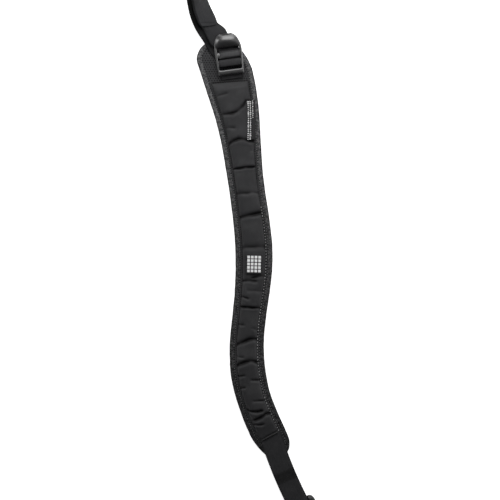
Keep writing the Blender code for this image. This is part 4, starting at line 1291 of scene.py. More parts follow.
def tuck_at(tuck, past):
    risen = smooth_step((past - tuck["rise"][0]) / tuck["rise"][1])
    painted_top_light = smooth_step((past - tuck["fade"][0]) / tuck["fade"][1])
    return tuck["deep"] * risen * (1 - painted_top_light)


def twist_shade_of(stop):
    """From 0 to 1, shade painted on a strap near the pad's head, most where it is turned up."""
    turn = 1 - abs(stop["face"].normalized().z)
    away = (stop["middle"] - pad_point(0.0)).length
    return (0.35 + 0.65 * smooth_step(turn / 0.20)) * (1 - smooth_step((away - 0.06) / 0.06))


def curled(line):
    """Curl the layer's sides below the folded end; paint shade on the turned-up run behind."""
    cut = line[0]["middle"]
    below = next(
        index for index, stop in enumerate(line) if stop["face"].dot(line[0]["face"]) < 0)
    turned_back = False
    for stop in line[below:]:
        along = (stop["middle"] - LOCK.middle).dot(LOCK.along) / LOCK_LONG
        if turned_back or stop["face"].z < -0.5:
            turned_back = True
            # painted shade on the run behind the lock, near the head of the pad
            stop["painted_shade_and_tack_band"] = twist_shade_of(stop)
            continue
        if along < -0.05:
            continue
        past = (stop["middle"] - cut).dot(-LOCK.along)
        left = tuck_at(LEFT_TUCK, past) + BAR_TUCK * math.exp(-((along - 0.010) / 0.075) ** 4)
        right = tuck_at(RIGHT_TUCK, past)
        same = stop["across"].dot(LOCK.across) > 0
        stop["tucked"] = (left, right) if same else (right, left)
    return line


print(f"tucks: {LEFT_TUCK['deep'] * 1000:.1f} and {RIGHT_TUCK['deep'] * 1000:.1f} mm")

# %% Sling webbing
SLING_LINE = finer(FLAP_STOPS[:-1] + FOLD_STOPS + SLING_STOPS[1:], step=0.0012)
SLING_LINE = curled(over_bars(SLING_LINE))
sling = settle(
    strap("sling_strap", SLING_LINE, rounded=0.0042, lean=-0.18), "webbing", "sling_webbing")
print(f"sling webbing: {SLING_LINE[-1]['travel'] * 1000:.0f} mm, "
      f"{len(sling.data.polygons)} faces")

# %% [markdown]
# Two short lengths join the pad to its fittings: one goes round the lock's anchor bar, the
# other leaves the lower hem for the buckle. Both are read and made the same way. The lower
# one is sewn through in a band of tacks ahead of the buckle, and is darker there.


# %% Anchor and lower webbing
ANCHOR_BACK = 0.0404
LOWER_ASIDE = 0.0012
LOWER_UNDER = 0.014
LOWER_HEADING = [
    {"share": 0.0, "heading": 18.5},
    {"share": 0.5, "heading": 22.3},
    {"share": 1.0, "heading": 27.5},
]
TACKS_BACK = 0.0387
TACKS_HALF = 0.0075
FACE_UP = 0.8
LOWER_FROM = pad_point(PANEL_ENDS["low"], LOWER_ASIDE)
LOWER_START = LOWER_FROM - heading_vector(LOWER_HEADING[0]["heading"]) * LOWER_UNDER
ANCHOR_LINE = finer(
    strap_sections("anchor_webbing", LOCK.at(0, -ANCHOR_BACK, SEAT_HIGH)), step=0.001)
LOWER_LINE = finer(
    strap_sections("lower_webbing", LOWER_START + Vector((0, 0, SEAT_HIGH))), step=0.0015)
LOWER_FLAT = max(stop["travel"] for stop in LOWER_LINE if stop["face"].z > FACE_UP)
TACKS_MIDDLE = LOWER_FLAT - TACKS_BACK
for stop in LOWER_LINE:
    near = abs(stop["travel"] - TACKS_MIDDLE) / TACKS_HALF
    stop["painted_shade_and_tack_band"] = 0.55 * (1 - smooth_step((near - 0.55) / 0.5))
anchor = settle(strap("anchor_strap", ANCHOR_LINE), "webbing", "anchor_webbing")
lower = settle(strap("lower_strap", LOWER_LINE), "webbing", "lower_webbing")
print(f"anchor {ANCHOR_LINE[-1]['travel'] * 1000:.0f} mm, "
      f"lower {LOWER_LINE[-1]['travel'] * 1000:.0f} mm")

# %% [markdown]
# ## The ladder lock
# The lock is one moulding: two rails, a lip, and a domed hood that narrows towards the tail.
# A mould maker would loft its outside through a few sections and then sink the openings.
# Here more sections are read from the same short table, so that the hood's polish shows a
# smooth highlight, and the window's cutter widens at the top to leave rounded edges.


# %% Loft and cutters
MOULDED_SHARP = 38.0


def loft(name, sections, material):
    """A closed solid through sections, with flat ends."""
    return skin(name, sections, lambda row, column: (0.0, 0.0), material, sharp=MOULDED_SHARP)


def block(name, seat, across, along, levels, corner=0.0002):
    """A block in a seat's frame; levels give a height and how far it widens there."""
    sections = []
    for height, wider in levels:
        section = []
        for side, end, start in ((1, 1, 0), (0, 1, 90), (0, 0, 180), (1, 0, 270)):
            x = across[side] + (wider - corner) * (2 * side - 1)
            y = along[end] + (wider - corner) * (2 * end - 1)
            for degrees in (start, start + 30, start + 60, start + 90):
                angle = math.radians(degrees)
                section.append(
                    seat.at(x + corner * math.cos(angle), y + corner * math.sin(angle), height))
        sections.append(section)
    return loft(name, sections, POLISHED)


def carve(thing, cutters, operation="DIFFERENCE"):
    """Cut or join shapes with booleans, and leave a plain mesh."""
    for cutter in cutters:
        change = thing.modifiers.new(cutter.name, "BOOLEAN")
        change.operation = operation
        change.solver = "EXACT"
        change.object = cutter
    made = plain_mesh(thing)
    for cutter in cutters:
        bpy.data.objects.remove(cutter, do_unlink=True)
    return made


def plain_mesh(thing):
    """Replace an object's mesh with what its modifiers make of it, and remove them."""
    bpy.context.view_layer.update()
    evaluated = thing.evaluated_get(bpy.context.evaluated_depsgraph_get())
    mesh = bpy.data.meshes.new_from_object(evaluated)
    mesh.name = thing.name
    thing.modifiers.clear()
    thing.data = mesh
    return thing


def reshaded(thing):
    """Smooth faces with edges kept at a moulding's corners, as after a boolean."""
    thing.data.shade_smooth()
    thing.data.set_sharp_from_angle(angle=math.radians(MOULDED_SHARP))
    return thing


print("moulding: loft, block, carve")


# %% Rounded sections
def row_between(table, share):
    return {name: between(table, share, name) for name in table[0] if name != "share"}


def squared(value, power):
    """A cosine or sine drawn out towards 1 or -1, which squares the corners of an oval."""
    return math.copysign(abs(value) ** power, value)


def flare(high, radius, top):
    """Levels of a cutter that opens out in a quarter round below a height."""
    levels = [(high[0], 0.0)]
    for degrees in (0, 30, 60, 90):
        angle = math.radians(degrees)
        levels.append((top - radius + radius * math.sin(angle), radius * (1 - math.cos(angle))))
    return levels + [(high[1], radius)]


print(f"squared oval: 0.5 becomes {squared(0.5, 0.55):.2f}")

# %% Sizes of the lock
RAIL_WIDE = 0.0028
RAIL_HIGH = 0.0066
HOOD_RISE = 0.0032
BAR_THICK = 0.0018
LOCK_FLOOR = PAD_THICK + WEB_THICK + 2 * GAP
LIP_FLOOR = LOCK_FLOOR + BAR_THICK + WEB_THICK + 2 * GAP
GRIP_TOP = LOCK_FLOOR + RAIL_HIGH - WEB_THICK - 2 * GAP
TAIL_ROOF = TAIL_HIGH + WEB_THICK / 2 + 6 * GAP
WEB_OPEN = WEB_WIDE / 2 + 0.0004
LOCK_HALF = WEB_OPEN + RAIL_WIDE
LOCK_SECTIONS = [
    {"share": -0.484, "wide": 0.86, "aside": 0.00, "floor": 0.16, "rail": 0.86, "hood": 0.00},
    {"share": -0.470, "wide": 0.91, "aside": 0.00, "floor": 0.00, "rail": 0.95, "hood": 0.00},
    {"share": -0.360, "wide": 0.93, "aside": 0.00, "floor": 0.00, "rail": 1.00, "hood": 0.00},
    {"share": -0.100, "wide": 0.99, "aside": 0.00, "floor": 0.00, "rail": 1.00, "hood": 0.00},
    {"share": 0.165, "wide": 0.99, "aside": -0.01, "floor": 0.20, "rail": 1.00, "hood": 0.10},
    {"share": 0.230, "wide": 0.96, "aside": -0.02, "floor": 0.56, "rail": 1.00, "hood": 0.62},
    {"share": 0.300, "wide": 0.91, "aside": -0.03, "floor": 0.72, "rail": 1.00, "hood": 0.96},
    {"share": 0.380, "wide": 0.82, "aside": -0.04, "floor": 0.77, "rail": 1.02, "hood": 0.96},
    {"share": 0.450, "wide": 0.69, "aside": -0.05, "floor": 0.78, "rail": 1.02, "hood": 0.56},
    {"share": 0.495, "wide": 0.54, "aside": -0.06, "floor": 0.82, "rail": 1.02, "hood": 0.14},
    {"share": 0.512, "wide": 0.43, "aside": -0.06, "floor": 0.85, "rail": 0.98, "hood": 0.00},
]
print(f"ladder lock: {LOCK_HALF * 2000:.1f} mm wide, {len(LOCK_SECTIONS)} sections")


# %% Hood and bars of the lock
def dome_outline(half, floor, rail, crown):
    """A section with rounded corners whose top rises to a crown."""
    side = min(0.0014, (rail - floor) * 0.32)
    points = []
    flat = half - side
    corners = [(degrees, floor + side) for degrees in (-90, -60, -30, 0)]
    corners += [(degrees, rail - side) for degrees in (0, 22, 45, 67)]
    for degrees, middle in corners:
        angle = math.radians(degrees)
        points.append((flat + side * math.cos(angle), middle + side * math.sin(angle)))
    for cell in range(15):
        x = flat * (1 - cell / 7)
        points.append((x, rail + (crown - rail) * (1 - abs(x / flat) ** 2.4)))
    mirrored = [(-x, z) for x, z in reversed(points[:8])]
    return points + mirrored


def lock_bar(bar, floor, top):
    """A bar from rail to rail, a squared oval between two shares of the lock's length."""
    reach = WEB_OPEN + RAIL_WIDE * 0.35
    middle = (bar["from"] + bar["to"]) / 2 * LOCK_LONG
    half_long = (bar["to"] - bar["from"]) / 2 * LOCK_LONG
    ends = []
    for across in (-reach, reach):
        ring = []
        for step in range(20):
            angle = math.tau * step / 20
            lean, rise = squared(math.cos(angle), 0.55), squared(math.sin(angle), 0.55)
            ring.append(LOCK.at(
                across, middle + half_long * lean, (floor + top) / 2 + (top - floor) / 2 * rise))
        ends.append(ring)
    return loft("bar", ends, POLISHED)


print(f"lock outline: {len(dome_outline(1.0, 0.0, 0.5, 0.6))} points")

# %% Ladder lock
LOCK_STEPS = 72
ANCHOR_BAR = {"from": -0.474, "to": -0.411}
WINDOW = (-0.366, 0.179)
WINDOW_CORNER = 0.0018
WINDOW_ROUND = 0.0013


def ladder_lock():
    sections = []
    first, last = LOCK_SECTIONS[0]["share"], LOCK_SECTIONS[-1]["share"]
    for step in range(LOCK_STEPS + 1):
        share = first + (last - first) * step / LOCK_STEPS
        row = row_between(LOCK_SECTIONS, share)
        floor = LOCK_FLOOR + max(row["floor"], 0) * RAIL_HIGH
        rail = LOCK_FLOOR + row["rail"] * RAIL_HIGH
        crown = rail + max(row["hood"], 0) * HOOD_RISE
        outline = dome_outline(row["wide"] * LOCK_HALF, floor, rail, crown)
        aside = row["aside"] * LOCK_HALF
        sections.append([LOCK.at(aside + x, share * LOCK_LONG, z) for x, z in outline])
    lock = loft("ladder_lock_body", sections, POLISHED)
    low, high = LOCK_FLOOR - 0.003, LOCK_FLOOR + RAIL_HIGH + HOOD_RISE + 0.003
    past = LOCK_LONG * 0.54
    opening = flare((low, high), WINDOW_ROUND, LOCK_FLOOR + RAIL_HIGH)
    cutters = [
        block("window", LOCK, (-WEB_OPEN, WEB_OPEN),
              (WINDOW[0] * LOCK_LONG, WINDOW[1] * LOCK_LONG), opening, corner=WINDOW_CORNER),
        block("under_lip", LOCK, (-WEB_OPEN - GAP, WEB_OPEN + GAP),
              (-past, (WINDOW[0] + 0.02) * LOCK_LONG), [(low, 0), (LIP_FLOOR, 0)]),
        block("tail_way", LOCK, (-LOCK_HALF * 1.2, LOCK_HALF * 1.2),
              (GRIP_BARS[1]["from"] * LOCK_LONG, past), [(low, 0), (TAIL_ROOF, 0)]),
        block("hood_hollow", LOCK, (GAP - WEB_OPEN, WEB_OPEN - GAP),
              ((WINDOW[1] - 0.02) * LOCK_LONG, past),
              [(low, 0), (TAIL_ROOF + WEB_THICK * 1.5, 0)]),
    ]
    lock = carve(lock, cutters)
    bars = [lock_bar(bar, GRIP_TOP - BAR_THICK, GRIP_TOP) for bar in GRIP_BARS]
    bars.append(lock_bar(ANCHOR_BAR, LOCK_FLOOR, LOCK_FLOOR + BAR_THICK))
    return reshaded(carve(lock, bars, "UNION"))


lock = settle(ladder_lock(), "lock_plastic", "ladder_lock")
print(f"ladder lock: {len(lock.data.polygons)} faces")

# %% [markdown]
# The lower buckle is a plain waisted block with a sewing bar behind a slot at each end. It is
# made like the lock, with its own table, and gets the satin finish. The end that faces the
# pad is a little longer and blunter.


# %% Sizes and place of the lower buckle
BUCKLE_LONG = 0.062
BUCKLE_WIDE = 0.038
BUCKLE_THICK = 0.012
BUCKLE_BAR = 0.0034
BUCKLE_SLOT = 0.0050
LOWER_RUN = 0.0828
BUCKLE_SECTIONS = [
    {"share": 0.000, "wide": 0.80, "thick": 0.42},
    {"share": 0.022, "wide": 0.92, "thick": 0.62},
    {"share": 0.080, "wide": 1.01, "thick": 0.82},
    {"share": 0.230, "wide": 1.00, "thick": 1.00},
    {"share": 0.380, "wide": 0.90, "thick": 1.00},
    {"share": 0.500, "wide": 0.86, "thick": 0.94},
    {"share": 0.620, "wide": 0.90, "thick": 1.00},
    {"share": 0.770, "wide": 1.00, "thick": 1.00},
    {"share": 0.910, "wide": 1.00, "thick": 0.82},
    {"share": 0.978, "wide": 0.82, "thick": 0.62},
    {"share": 1.000, "wide": 0.71, "thick": 0.42},
]


def lower_heading(share):
    return between(LOWER_HEADING, share, "heading")


LOWER_END = LOWER_FROM + walk(LOWER_RUN, lower_heading, steps=12)[-1]
BUCKLE = Seat(LOWER_END, heading_vector(LOWER_HEADING[-1]["heading"]))
print("lower buckle starts at:", tuple(round(c * 1000, 1) for c in BUCKLE.middle.xy), "mm")

# %% Lower buckle
BUCKLE_BLUNT = 0.0026
BUCKLE_STEPS = 60


def buckle_outline(half, thick):
    """A flat section with well rounded edges."""
    points = []
    for step in range(32):
        angle = math.tau * (step + 0.5) / 32
        points.append((
            half * squared(math.cos(angle), 0.30), thick * squared(math.sin(angle), 0.42)))
    return points


def lower_buckle():
    sections = []
    for step in range(BUCKLE_STEPS + 1):
        share = 0.5 - 0.5 * math.cos(math.pi * step / BUCKLE_STEPS)
        row = row_between(BUCKLE_SECTIONS, share)
        half, thick = row["wide"] * BUCKLE_WIDE / 2, row["thick"] * BUCKLE_THICK / 2
        along = share * BUCKLE_LONG - BUCKLE_BLUNT * (1 - share) ** 3
        sections.append([
            BUCKLE.at(x, along, BUCKLE_THICK / 2 + z)
            for x, z in buckle_outline(half, thick)])
    buckle = loft("lower_buckle_body", sections, SATIN)
    past = 0.003
    bar_half = BUCKLE_THICK * 0.125
    through = [(-past, 0), (BUCKLE_THICK - 0.0018, 0.0), (BUCKLE_THICK + past, 0.0022)]
    cutters = []
    for name, along in (
            ("near_slot", (BUCKLE_BAR, BUCKLE_BAR + BUCKLE_SLOT)),
            ("far_slot", (BUCKLE_LONG - BUCKLE_BAR - BUCKLE_SLOT, BUCKLE_LONG - BUCKLE_BAR))):
        cutters.append(block(name, BUCKLE, (-WEB_OPEN, WEB_OPEN), along, through))
    for name, along in (
            ("near", (-past, BUCKLE_BAR * 1.1)),
            ("far", (BUCKLE_LONG - BUCKLE_BAR * 1.1, BUCKLE_LONG + past))):
        wide = (-WEB_OPEN - GAP, WEB_OPEN + GAP)
        cutters.append(block(
            name + "_above", BUCKLE, wide, along,
            [(BUCKLE_THICK / 2 + bar_half, 0), (BUCKLE_THICK + past + GAP, 0)]))
        cutters.append(block(
            name + "_below", BUCKLE, wide, along,
            [(-past - GAP, 0), (BUCKLE_THICK / 2 - bar_half, 0)]))
    return reshaded(carve(buckle, cutters))


buckle = settle(lower_buckle(), "buckle_plastic", "lower_buckle")
print(f"lower buckle: {len(buckle.data.polygons)} faces")

# %% [markdown]
# ## Tag and badge
# Both are laid over the panel after its folds are there. Each takes its height from the
# panel's unfolded shape, as a stiffer cloth would, so it bridges the small folds below it.


# %% Side tag
TAG_WIDE = 0.0092
TAG_LONG = 0.043
TAG_TOP = 0.0808
TAG_ASIDE = 0.0190
TAG_LEAN = 0.0070
TAG_THICK = 0.0005
TAG_CLEAR = 0.0006
TAG_WAVE = 0.00015
TAG_ROWS = 60
TAG_CELLS = 10


def tag_point(down, across, lift=0.0):
    """A place on the tag: share of its length, metres to the right of its middle."""
    share = (TAG_TOP + TAG_LONG * down) / PAD_LONG
    aside = TAG_ASIDE - TAG_LEAN * down + across
    half = panel_half(share, 1) + 0.002
    bulge = PANEL_RISE * (1 - min(abs(aside) / half, 1) ** 4)
    wave = TAG_WAVE * math.sin(math.pi * 7 * down + across * 300)
    return pad_point(share, aside, PANEL_FLOOR + TAG_CLEAR + bulge + wave + lift)


def side_tag():
    asides = [TAG_WIDE * (cell / TAG_CELLS - 0.5) for cell in range(TAG_CELLS + 1)]
    rows = []
    for row in range(TAG_ROWS + 1):
        top = [tag_point(row / TAG_ROWS, across, TAG_THICK) for across in asides]
        under = [tag_point(row / TAG_ROWS, across) for across in asides]
        rows.append(top + under[::-1])
    cell_wide, row_long = TAG_WIDE / TAG_CELLS, TAG_LONG / TAG_ROWS
    return skin(
        "side_tag", rows, lambda row, column: (column * cell_wide, row * row_long), TAG_CLOTH)


tag = settle(side_tag(), "label_cloth", "side_label")
print(f"side tag: {len(tag.data.polygons)} faces")

# %% Badge
BADGE_WIDE = 0.0200
BADGE_LONG = 0.0235
BADGE_THICK = 0.0013
BADGE_CORNER = 0.0022
BADGE_SHARE = 0.5330
BADGE = Seat(pad_point(BADGE_SHARE), -heading_vector(pad_heading(BADGE_SHARE)))
BADGE_FLOOR = PANEL_FLOOR + PANEL_RISE + GAP
BADGE_BEND = 7.0
BADGE_ROUND = 0.0006
BADGE_ROWS = 40
BADGE_CELLS = 16


def badge_patch():
    """A moulded patch with round corners, bent over the panel's crown."""
    rows = []
    for row in range(BADGE_ROWS + 1):
        along = BADGE_LONG / 2 * math.sin(math.pi / 2 * (2 * row / BADGE_ROWS - 1))
        half = BADGE_WIDE / 2
        corner = abs(along) - (BADGE_LONG / 2 - BADGE_CORNER)
        if corner > 0:
            half -= BADGE_CORNER - math.sqrt(max(BADGE_CORNER ** 2 - corner ** 2, 0))
        near_end = min((BADGE_LONG / 2 - abs(along)) / BADGE_ROUND, 1)
        top, under = [], []
        for cell in range(BADGE_CELLS + 1):
            across = half * math.sin(math.pi / 2 * (2 * cell / BADGE_CELLS - 1))
            near_side = min((half - abs(across)) / BADGE_ROUND, 1)
            round_off = 1 - (1 - min(near_end, near_side)) ** 2
            floor = BADGE_FLOOR - BADGE_BEND * across ** 2
            thick = BADGE_THICK * (0.55 + 0.45 * round_off ** 0.5)
            top.append(BADGE.at(across, along, floor + thick))
            under.append(BADGE.at(across, along, floor))
        rows.append(top + under[::-1])
    return skin("badge", rows, lambda row, column: (0.0, 0.0), RUBBER)


badge = settle(badge_patch(), "badge_rubber", "badge_patch")
print(f"badge: {len(badge.data.polygons)} faces")

# %% [markdown]
# ## What repeats
# Stitches, needle holes, woven ticks and the badge's little squares all repeat, so Geometry
# Nodes make them. A tree is a recipe with named inputs. One helper builds trees and another
# puts a tree on a mesh, sets its inputs by their identifiers, and turns the result into a
# plain mesh, because a finished part carries no modifiers.


# %% Geometry Nodes helpers
class Recipe:
    """A Geometry Nodes tree under construction, with named inputs."""

    def __init__(self, name, **inputs):
        self.tree = bpy.data.node_groups.new(name, "GeometryNodeTree")
        self.names = {}
        self.tree.interface.new_socket(
            "Start", in_out="INPUT", socket_type="NodeSocketGeometry")
        for label, kind in inputs.items():
            socket = self.tree.interface.new_socket(
                label, in_out="INPUT", socket_type="NodeSocket" + kind)
            self.names[label] = socket.identifier
        self.tree.interface.new_socket(
            "Made", in_out="OUTPUT", socket_type="NodeSocketGeometry")
        self.given = self.tree.nodes.new("NodeGroupInput").outputs

    def add(self, kind, settings, values, output=0):
        node = self.tree.nodes.new(kind)
        for name, value in settings.items():
            setattr(node, name, value)
        for socket, value in values.items():
            if isinstance(value, bpy.types.NodeSocket):
                self.tree.links.new(value, node.inputs[socket])
            else:
                node.inputs[socket].default_value = value
        return node.outputs[output]

    def math(self, operation, first, second):
        return self.add("ShaderNodeMath", {"operation": operation}, {0: first, 1: second})

    def close(self, made, material):
        """End the tree: real geometry, shaded smooth, in one material."""
        real = self.add("GeometryNodeRealizeInstances", {}, {"Geometry": made})
        smooth = self.add("GeometryNodeSetShadeSmooth", {}, {"Geometry": real})
        painted = self.add(
            "GeometryNodeSetMaterial", {}, {"Geometry": smooth, "Material": material})
        self.tree.links.new(painted, self.tree.nodes.new("NodeGroupOutput").inputs[0])


def make(recipe, thing, **values):
    """Run a recipe on an object and keep the result as a plain mesh."""
    change = thing.modifiers.new(recipe.tree.name, "NODES")
    change.node_group = recipe.tree
    for label, value in values.items():
        change[recipe.names[label]] = value
    return plain_mesh(thing)


print("recipes: trees with named inputs")

# %% [markdown]
# The row recipe takes a mesh of edges as its path. It sets out even places along the path,
# puts a small bead at each, turns it along the path and away from the cloth, and varies its
# size a little with a fixed seed. A stitch, a needle hole and a woven tick are all this
# bead at different sizes.


# %% Recipe for rows
BEAD_ROUND = 8
BEAD_RINGS = 5


def row_recipe():
    recipe = Recipe(
        "row_of_beads", Spacing="Float", Long="Float", Wide="Float", High="Float",
        Vary="Float", Seed="Int", Finish="Material")
    given = recipe.given
    path = recipe.add("GeometryNodeMeshToCurve", {}, {"Mesh": given["Start"]})
    places = recipe.add(
        "GeometryNodeResampleCurve", {"mode": "LENGTH"},
        {"Curve": path, "Length": given["Spacing"]})
    bead = recipe.add(
        "GeometryNodeMeshUVSphere", {},
        {"Segments": BEAD_ROUND, "Rings": BEAD_RINGS, "Radius": 0.5})
    tangent = recipe.add("GeometryNodeInputTangent", {}, {})
    lift = recipe.add(
        "GeometryNodeInputNamedAttribute", {"data_type": "FLOAT_VECTOR"}, {"Name": "lift"})
    along = recipe.add(
        "FunctionNodeAlignRotationToVector", {"axis": "X"}, {"Vector": tangent})
    upright = recipe.add(
        "FunctionNodeAlignRotationToVector", {"axis": "Z", "pivot_axis": "X"},
        {"Rotation": along, "Vector": lift})
    least = recipe.math("SUBTRACT", 1.0, given["Vary"])
    most = recipe.math("ADD", 1.0, given["Vary"])
    chance = recipe.add(
        "FunctionNodeRandomValue", {"data_type": "FLOAT"},
        {2: least, 3: most, "Seed": given["Seed"]}, 1)
    longer = recipe.math("MULTIPLY", given["Long"], chance)
    wider = recipe.math("MULTIPLY", given["Wide"], chance)
    size = recipe.add(
        "ShaderNodeCombineXYZ", {}, {"X": longer, "Y": wider, "Z": given["High"]})
    beads = recipe.add(
        "GeometryNodeInstanceOnPoints", {},
        {"Points": places, "Instance": bead, "Rotation": upright, "Scale": size})
    recipe.close(beads, given["Finish"])
    return recipe


ROW = row_recipe()
print("row recipe inputs:", ", ".join(ROW.names))


# %% Rows along runs of points
def later(points, lifts, closed, distance):
    """The same run of a path, started a distance further on."""
    points, lifts = list(points), list(lifts)
    step = (points[1] - points[0]).length
    while distance > step:
        distance -= step
        if closed:
            points.append(points[0])
            lifts.append(lifts[0])
        points, lifts = points[1:], lifts[1:]
        step = (points[1] - points[0]).length
    start = points[0].lerp(points[1], distance / step)
    if closed:
        points.append(points[0])
        lifts.append(lifts[0])
    return [start] + points[1:], lifts


def row_of(name, slot, runs, finish, late=0.0, **sizes):
    """Beads along runs of points; each run is (points, lifts, whether it is closed)."""
    corners, edges, lifts = [], [], []
    for points, lifted, closed in runs:
        if late:
            points, lifted = later(points, lifted, closed, late)
        first = len(corners)
        corners += [tuple(point) for point in points]
        lifts += lifted
        edges += [(first + i, first + i + 1) for i in range(len(points) - 1)]
        if closed:
            edges.append((first + len(points) - 1, first))
    mesh = bpy.data.meshes.new(name)
    mesh.from_pydata(corners, edges, [])
    store = mesh.attributes.new("lift", "FLOAT_VECTOR", "POINT")
    for index, value in enumerate(lifts):
        store.data[index].vector = value
    return settle(make(ROW, shown(name, mesh), Finish=finish, **sizes), slot)


def count_of(beads):
    """How many beads a finished row has."""
    return len(beads.data.polygons) // (BEAD_ROUND * BEAD_RINGS)


print(f"beads: {BEAD_ROUND * BEAD_RINGS} faces each")

# %% [markdown]
# Sewing comes last, as in the workshop. The binding has one row right round on each face.
# The panel has a row down each side and rows along its hems, and the straps are tacked
# across where they double back. Each stitch lies between two needle holes, which show as
# the dark dots of a seam, so a seam's holes are the same row started half a step later.


# %% Sew a seam
def sewn(seams):
    """The stitches of each seam, and then the needle holes of each."""
    made = []
    for seam in seams:
        made.append(row_of(
            seam["name"] + "_stitches", seam["slot"], seam["runs"], seam["thread"],
            Spacing=seam["step"], Seed=seam["seed"], **seam["stitch"]))
    for seam in seams:
        made.append(row_of(
            seam["name"] + "_holes", seam["slot"], seam["runs"], NEEDLE_HOLE,
            late=seam["step"] / 2, Spacing=seam["step"], Seed=seam["seed"] + 1, **seam["hole"]))
    return made


print("seams: stitches first, then their needle holes")

# %% Sew the binding
UP = Vector((0, 0, 1))
TOP_SEAM = moved_in(STITCH_IN, 0.00578)
UNDER_SEAM = moved_in(STITCH_IN, 0.00030)
BINDING_RUNS = [
    (TOP_SEAM, [UP] * len(TOP_SEAM), True), (UNDER_SEAM, [UP] * len(UNDER_SEAM), True)]
binding_seam = sewn([{
    "name": "binding", "slot": "edge_binding", "runs": BINDING_RUNS, "thread": TAPE_THREAD,
    "step": 0.0029, "seed": 3,
    "stitch": {"Long": 0.0018, "Wide": 0.0008, "High": 0.0005, "Vary": 0.15},
    "hole": {"Long": 0.0010, "Wide": 0.0011, "High": 0.00034, "Vary": 0.20},
}])
print(f"binding: {count_of(binding_seam[0])} stitches")


# %% Sew the panel
SEAM_STEPS = 240
SEAM_INSIDE = 0.0013
SEAM_LIFT = 0.0001
HEM_STEPS = 40
HEM_OUTER = 0.0012
HEM_INSIDE = 0.0030


def on_panel(share, aside):
    """A place for thread on the panel's cover, in the row that crosses the middle at a share."""
    place = share - aside * hem_slope(share)
    high = panel_high(place, hem_distance(share), 1 if aside > 0 else -1, aside)
    return pad_point(place, aside, PANEL_FLOOR + high + SEAM_LIFT)


def seam_run(side, first=0.1085, last=0.9390):
    """A row of stitches down one side seam of the panel."""
    points = []
    for step in range(SEAM_STEPS + 1):
        share = first + (last - first) * step / SEAM_STEPS
        points.append(on_panel(share, side * (panel_half(share, side) - SEAM_INSIDE)))
    return points, [UP] * len(points), False


def hem_runs():
    """Two rows across each hem."""
    runs = []
    for end, sign in (("top", 1), ("low", -1)):
        for deep in (HEM_OUTER, HEMS[end]["wide"]):
            share = PANEL_ENDS[end] + sign * deep / PAD_LONG
            half = min(panel_half(share, -1), panel_half(share, 1)) - HEM_INSIDE
            points = [
                on_panel(share, half * (2 * step / HEM_STEPS - 1))
                for step in range(HEM_STEPS + 1)]
            runs.append((points, [UP] * len(points), False))
    return runs


# The lower run of the right seam is sewn with a paler thread and a longer stitch
panel_seams = sewn([
    {
        "name": "panel", "slot": "panel_nylon", "thread": SEAM_THREAD,
        "runs": [seam_run(-1), seam_run(1, last=0.400)] + hem_runs(),
        "step": 0.0026, "seed": 7,
        "stitch": {"Long": 0.0017, "Wide": 0.0008, "High": 0.0005, "Vary": 0.15},
        "hole": {"Long": 0.0012, "Wide": 0.0013, "High": 0.00040, "Vary": 0.25},
    },
    {
        "name": "right_seam", "slot": "panel_nylon", "thread": SHOW_THREAD,
        "runs": [seam_run(1, first=0.405)],
        "step": 0.0034, "seed": 9,
        "stitch": {"Long": 0.0019, "Wide": 0.0009, "High": 0.0006, "Vary": 0.20},
        "hole": {"Long": 0.0019, "Wide": 0.0016, "High": 0.00045, "Vary": 0.25},
    },
])
print(f"panel: {count_of(panel_seams[0]) + count_of(panel_seams[1])} stitches")


# %% Tack the straps
TACK_WIDE = 0.0105
TACK_LIFT = 0.00012
FLAP_TACK = {"travel": 0.0046, "half": 0.0095, "lean": -0.22}
BAND_ROWS = 7
BAND_STEP = 0.0019
BUCKLE_TACKS = (0.0215, 0.0245, 0.0275)


def across_strap(line, travel, half=TACK_WIDE, lean=0.0):
    """A run across a strap at a distance along it, on its face."""
    stop = min(line, key=lambda s: abs(s["travel"] - travel))
    height = WEB_THICK / 2 + TACK_LIFT
    slide = stop["along"] * lean
    points = [
        stop["middle"] + (stop["across"] + slide) * x + stop["face"] * height
        for x in (-half, 0.0, half)]
    return points, [stop["face"]] * 3, False


def tack_runs():
    """One row on the flap, a band on the lower webbing and three rows at the buckle."""
    flap_back = [{**stop, "face": -stop["face"]} for stop in SLING_LINE]
    runs = [across_strap(flap_back, **FLAP_TACK)]
    for row in range(BAND_ROWS):
        back = BAND_STEP * (row - BAND_ROWS // 2)
        runs.append(across_strap(LOWER_LINE, TACKS_MIDDLE + back))
    sling_upper = [stop for stop in SLING_LINE[-120:] if stop["face"].z > FACE_UP]
    for back in BUCKLE_TACKS:
        runs.append(across_strap(SLING_LINE, sling_upper[-1]["travel"] - back))
    return runs


strap_tacks = row_of(
    "strap_tacks", "webbing", tack_runs(), TACK_THREAD, Spacing=0.0017, Long=0.0013,
    Wide=0.0008, High=0.0004, Vary=0.35, Seed=11)
print(f"straps: {count_of(strap_tacks)} tacks")

# %% [markdown]
# The tag carries a plain pattern of woven ticks in three columns, two down its left and one
# beside them at the top. They vary in width with a fixed seed, as yarn does.


# %% Weave the tag's ticks
TICK_FIRST = 0.015
TICK_LIFT = 0.00003
TICK_STEPS = 40
TICK_COLUMNS = [
    {"across": -0.0038, "last": 0.985, "wide": 0.0019, "seed": 21},
    {"across": -0.0014, "last": 0.985, "wide": 0.0021, "seed": 22},
    {"across": 0.0013, "last": 0.43, "wide": 0.0017, "seed": 23},
]


def tick_run(across, last):
    points = []
    for step in range(TICK_STEPS + 1):
        down = TICK_FIRST + (last - TICK_FIRST) * step / TICK_STEPS
        points.append(tag_point(down, across, TAG_THICK + TICK_LIFT))
    return points, [UP] * len(points), False


